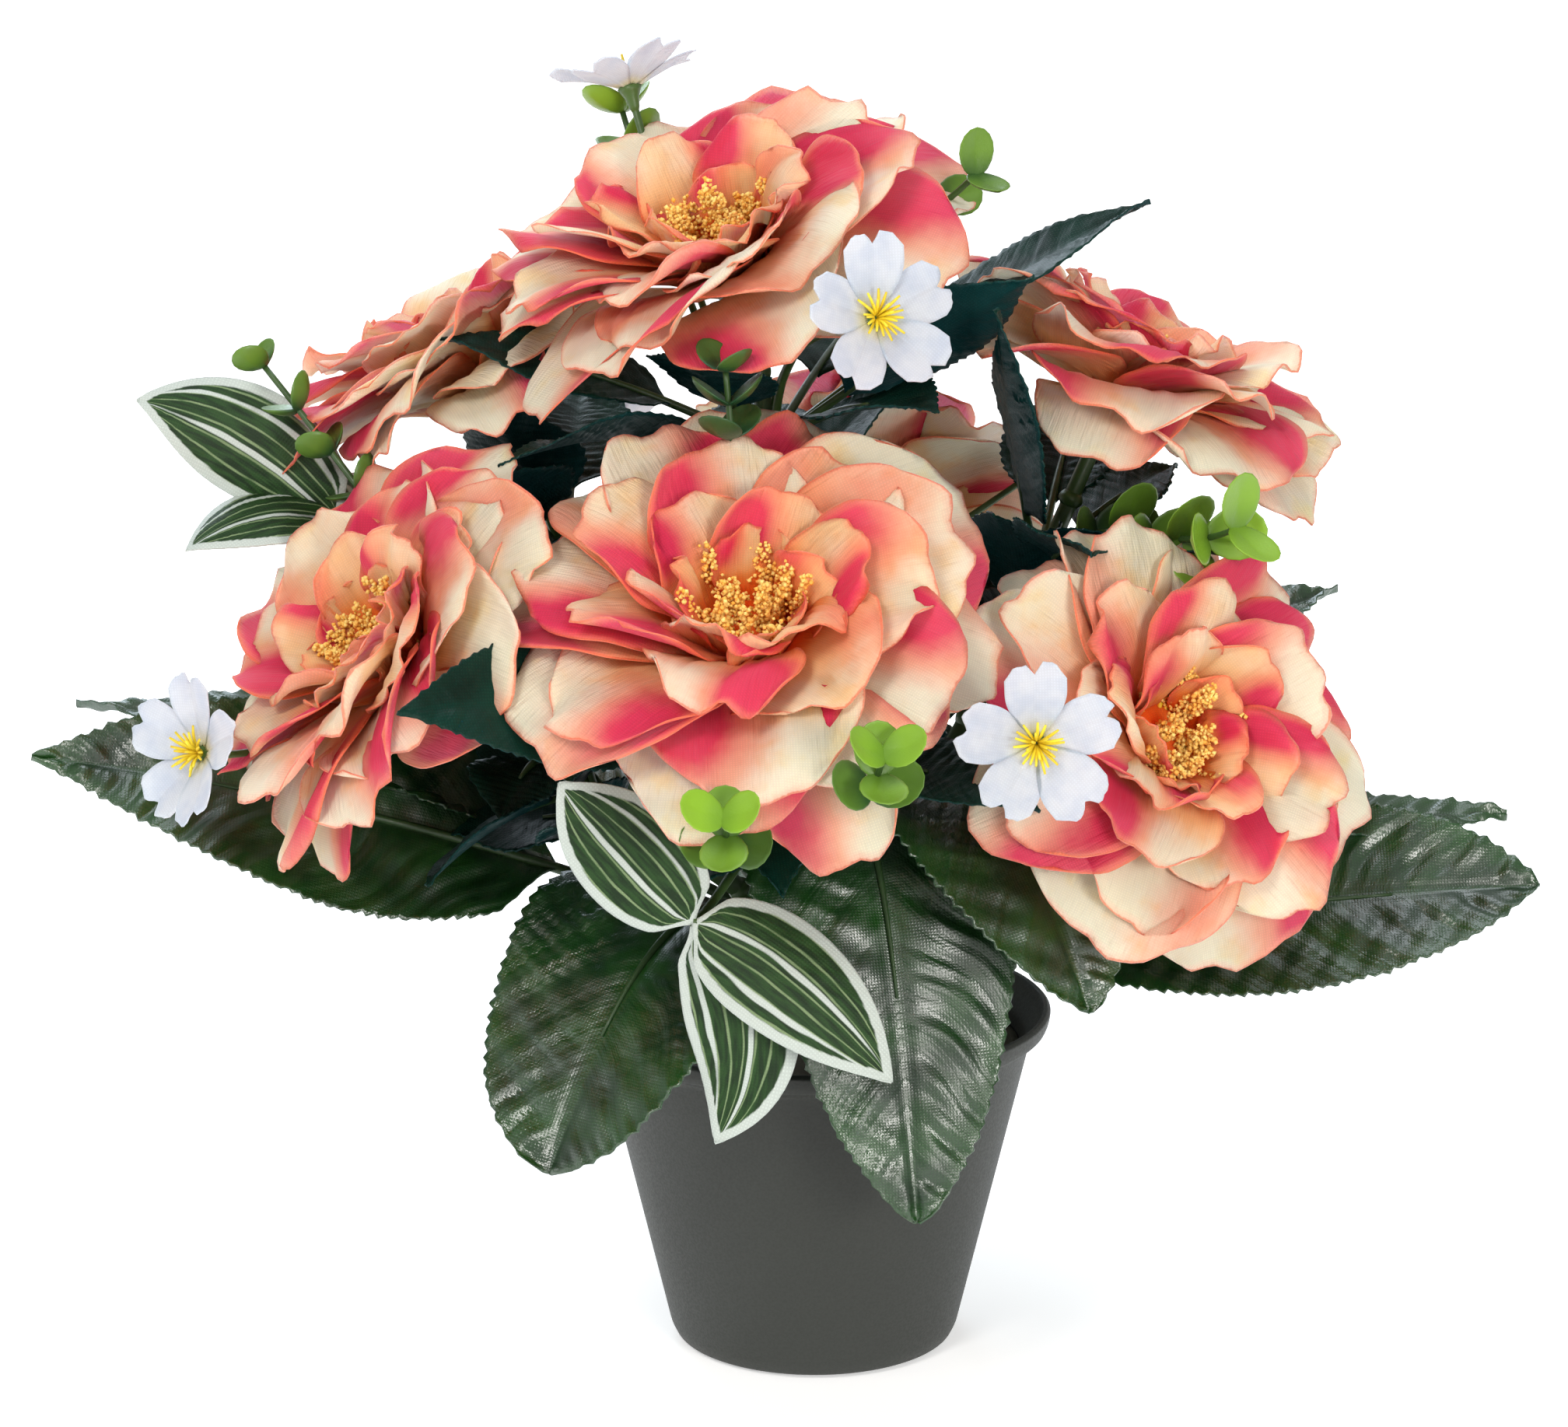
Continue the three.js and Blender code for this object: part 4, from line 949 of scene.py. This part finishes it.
def boxLeaf(root, out, face, scale, tone):
    # A round cupped leaf, thick at its root.
    side = np.cross(face, out)
    length, width = boxCut["length"] * scale, boxCut["width"] * scale
    rows, cols = boxCut["rows"], boxCut["cols"]
    lat = np.linspace(-np.pi / 2 + 0.12, np.pi / 2 - 0.12, rows + 1)[:, None]
    lon = (np.arange(cols) * 2 * np.pi / cols)[None, :]
    x, y, z = np.cos(lat) * np.cos(lon), np.cos(lat) * np.sin(lon), np.sin(lat) * np.ones_like(lon)
    r2 = x * x + y * y
    along = (x * (1 + 0.04 * np.cos(2 * lon)) + 1) * length / 2
    cup = 0.2 * r2 * length / 2 - 0.3 * np.exp(-(y / 0.16) ** 2) * (r2 < 0.9)
    across = y * width / 2 * (0.94 + 0.06 * x)
    lift = cup + z * boxCut["halfThickness"] * (1.25 - 0.35 * x)
    points = root + out * along[..., None] + side * across[..., None] + face * lift[..., None]
    shade = np.clip(tone - 0.35 * smooth(0.2, -1, x), 0, 1)
    return closedGrid(points, {"tone": shade})


def makeBoxSprigs():
    for index, (name, sprig) in enumerate(boxSprigs.items()):
        host, at, tip, bow, pairs, start, size, facing, tone = sprig
        draw = random.Random(300 + index)
        curve = stalkCurve(host, at, bow, place(*tip), facing and looking(*facing))
        leaves = []
        for k in range(pairs):
            share = start + (0.985 - start) * k / (pairs - 1)
            joint, along = curve(share), way(curve, share)
            side = turned(unit(np.cross(upward, along)), along, k * math.pi / 2)
            age = tone * (0.35 + 0.65 * k / (pairs - 1))
            shrink = 1 - 0.14 * k / (pairs - 1)
            for hand in (-1, 1):
                out = unit(side * hand * 0.8 + along * draw.uniform(0.5, 0.7))
                face = unit(along - out * np.dot(along, out))
                shade = min(1, age * draw.uniform(0.85, 1.1))
                leaves.append(boxLeaf(joint + out * 0.2, out, face, size * shrink, shade))
        addPiece("box_leaves_" + name, leaves, boxPlastic, ["box_sprig_" + name])
        stalk = tube(curve, [1.4, 1.2, 1.0, 0.8], 8, 36, (0, 0.99), 0.55)
        addPiece("box_stalk_" + name, [stalk], stemPlastic)


stripedCut = {
    "petiole": 0, "rows": 48, "cols": 26, "teeth": None, "pleat": 0.25, "veins": 9, "wave": 0.5,
    "width": 30, "roll": 0, "fold": -0.16, "blunt": 0.65, "taper": (9, 0.65),
}
stripedSprigs = {  # host, share, knot, bow, and for each leaf its tip, the way it faces, its lift and sway
    "front": ("front", 0.34, (-19, 97, 145), 10,
              [((-33, 119, 184), (-20, 20), 0), ((9, 119, 111), (4, 22), 10),
               ((-15, 101, 88), (-16, 10), 2, 20)]),
    "left": ("back_left", 0.4, (-92, 128, 230), 6,
             [((-92, 182, 262), (-50, 35), 14), ((-84, 168, 226), (-50, 30), 12),
              ((-112, 160, 224), (-120, 50), 8)]),
    "back": ("back", 0.45, (158, 120, 168), 6,
             [((148, 160, 196), (150, 30), 6), ((164, 166, 160), (170, 40), 8),
              ((176, 138, 130), (176, 15), 8)]),
}


def makeStripedSprigs():
    for index, (name, (host, at, knotPlace, bow, leaves)) in enumerate(stripedSprigs.items()):
        draw = random.Random(400 + index)
        knot, sheets = place(*knotPlace), []
        for tip, facing, lift, *sway in leaves:
            end, looks = place(*tip), looking(*facing)
            rib = bezier(knot, (knot + end) / 2 + upward * lift + levelSide(looks) * (sway or [0])[0], end)
            sheets.append(leafPatch(rib, looks, stripedCut, draw))
        addPiece("striped_cloth_" + name, sheets, stripedCloth, ["striped_leaves_" + name])
        stalk = tube(stalkCurve(host, at, bow, knot), [1.5, 1.3, 1.2], 8, 30, tone=0.6)
        addPiece("striped_stalk_" + name, [stalk], stemPlastic)


floorForm = {"reach": 8, "squares": 16, "drop": 0.0005, "glow": 1.0, "dim": 0.45, "dimReach": 0.8}


def makeFloor():
    # Wide enough to be the backdrop too. It glows behind the plant, as a light table does. In metres.
    c = floorForm
    mesh = bpy.data.meshes.new("floor")
    row = c["squares"] + 1
    steps = np.linspace(-c["reach"], c["reach"], row)
    grid = [(x, y, -c["drop"]) for y in steps for x in steps]
    corners = [y * row + x for y in range(c["squares"]) for x in range(c["squares"])]
    mesh.from_pydata(grid, [], [(k, k + 1, k + row + 1, k + row) for k in corners])
    f = Finish("studio_floor", Roughness=0.9, Specular_IOR_Level=0.1, Emission_Strength=c["glow"])
    where = f.add("TexCoord", output="Object")
    distance = f.add("VectorMath", {0: where}, output="Value", operation="LENGTH")
    behind = f.band(f.add("SeparateXYZ", {0: where}, output="Y"), -0.3, 0.0)
    glow = f.math("MULTIPLY", behind, f.band(distance, 0.0, c["dimReach"], (c["dim"], 1.0)))
    f.tree.links.new(f.grey(glow), f.shader.inputs["Emission Color"])
    f.colour(f.mix(f.noise(4.0, 3.0), paint("fdfdfd"), paint("f8f8f8")))
    mesh.materials.append(f.material)
    floor = stood("floor", mesh)


makeFloor()
print("pot and bush")
makePot()
makeBush()
print("blooms")
for index, name in enumerate(blooms):
    makeBloom(index, name)
print("leaves")
makeCollar()
makeUpperLeaves()
print("small flowers and sprigs")
makeWhiteFlowers()
makeBoxSprigs()
makeStripedSprigs()
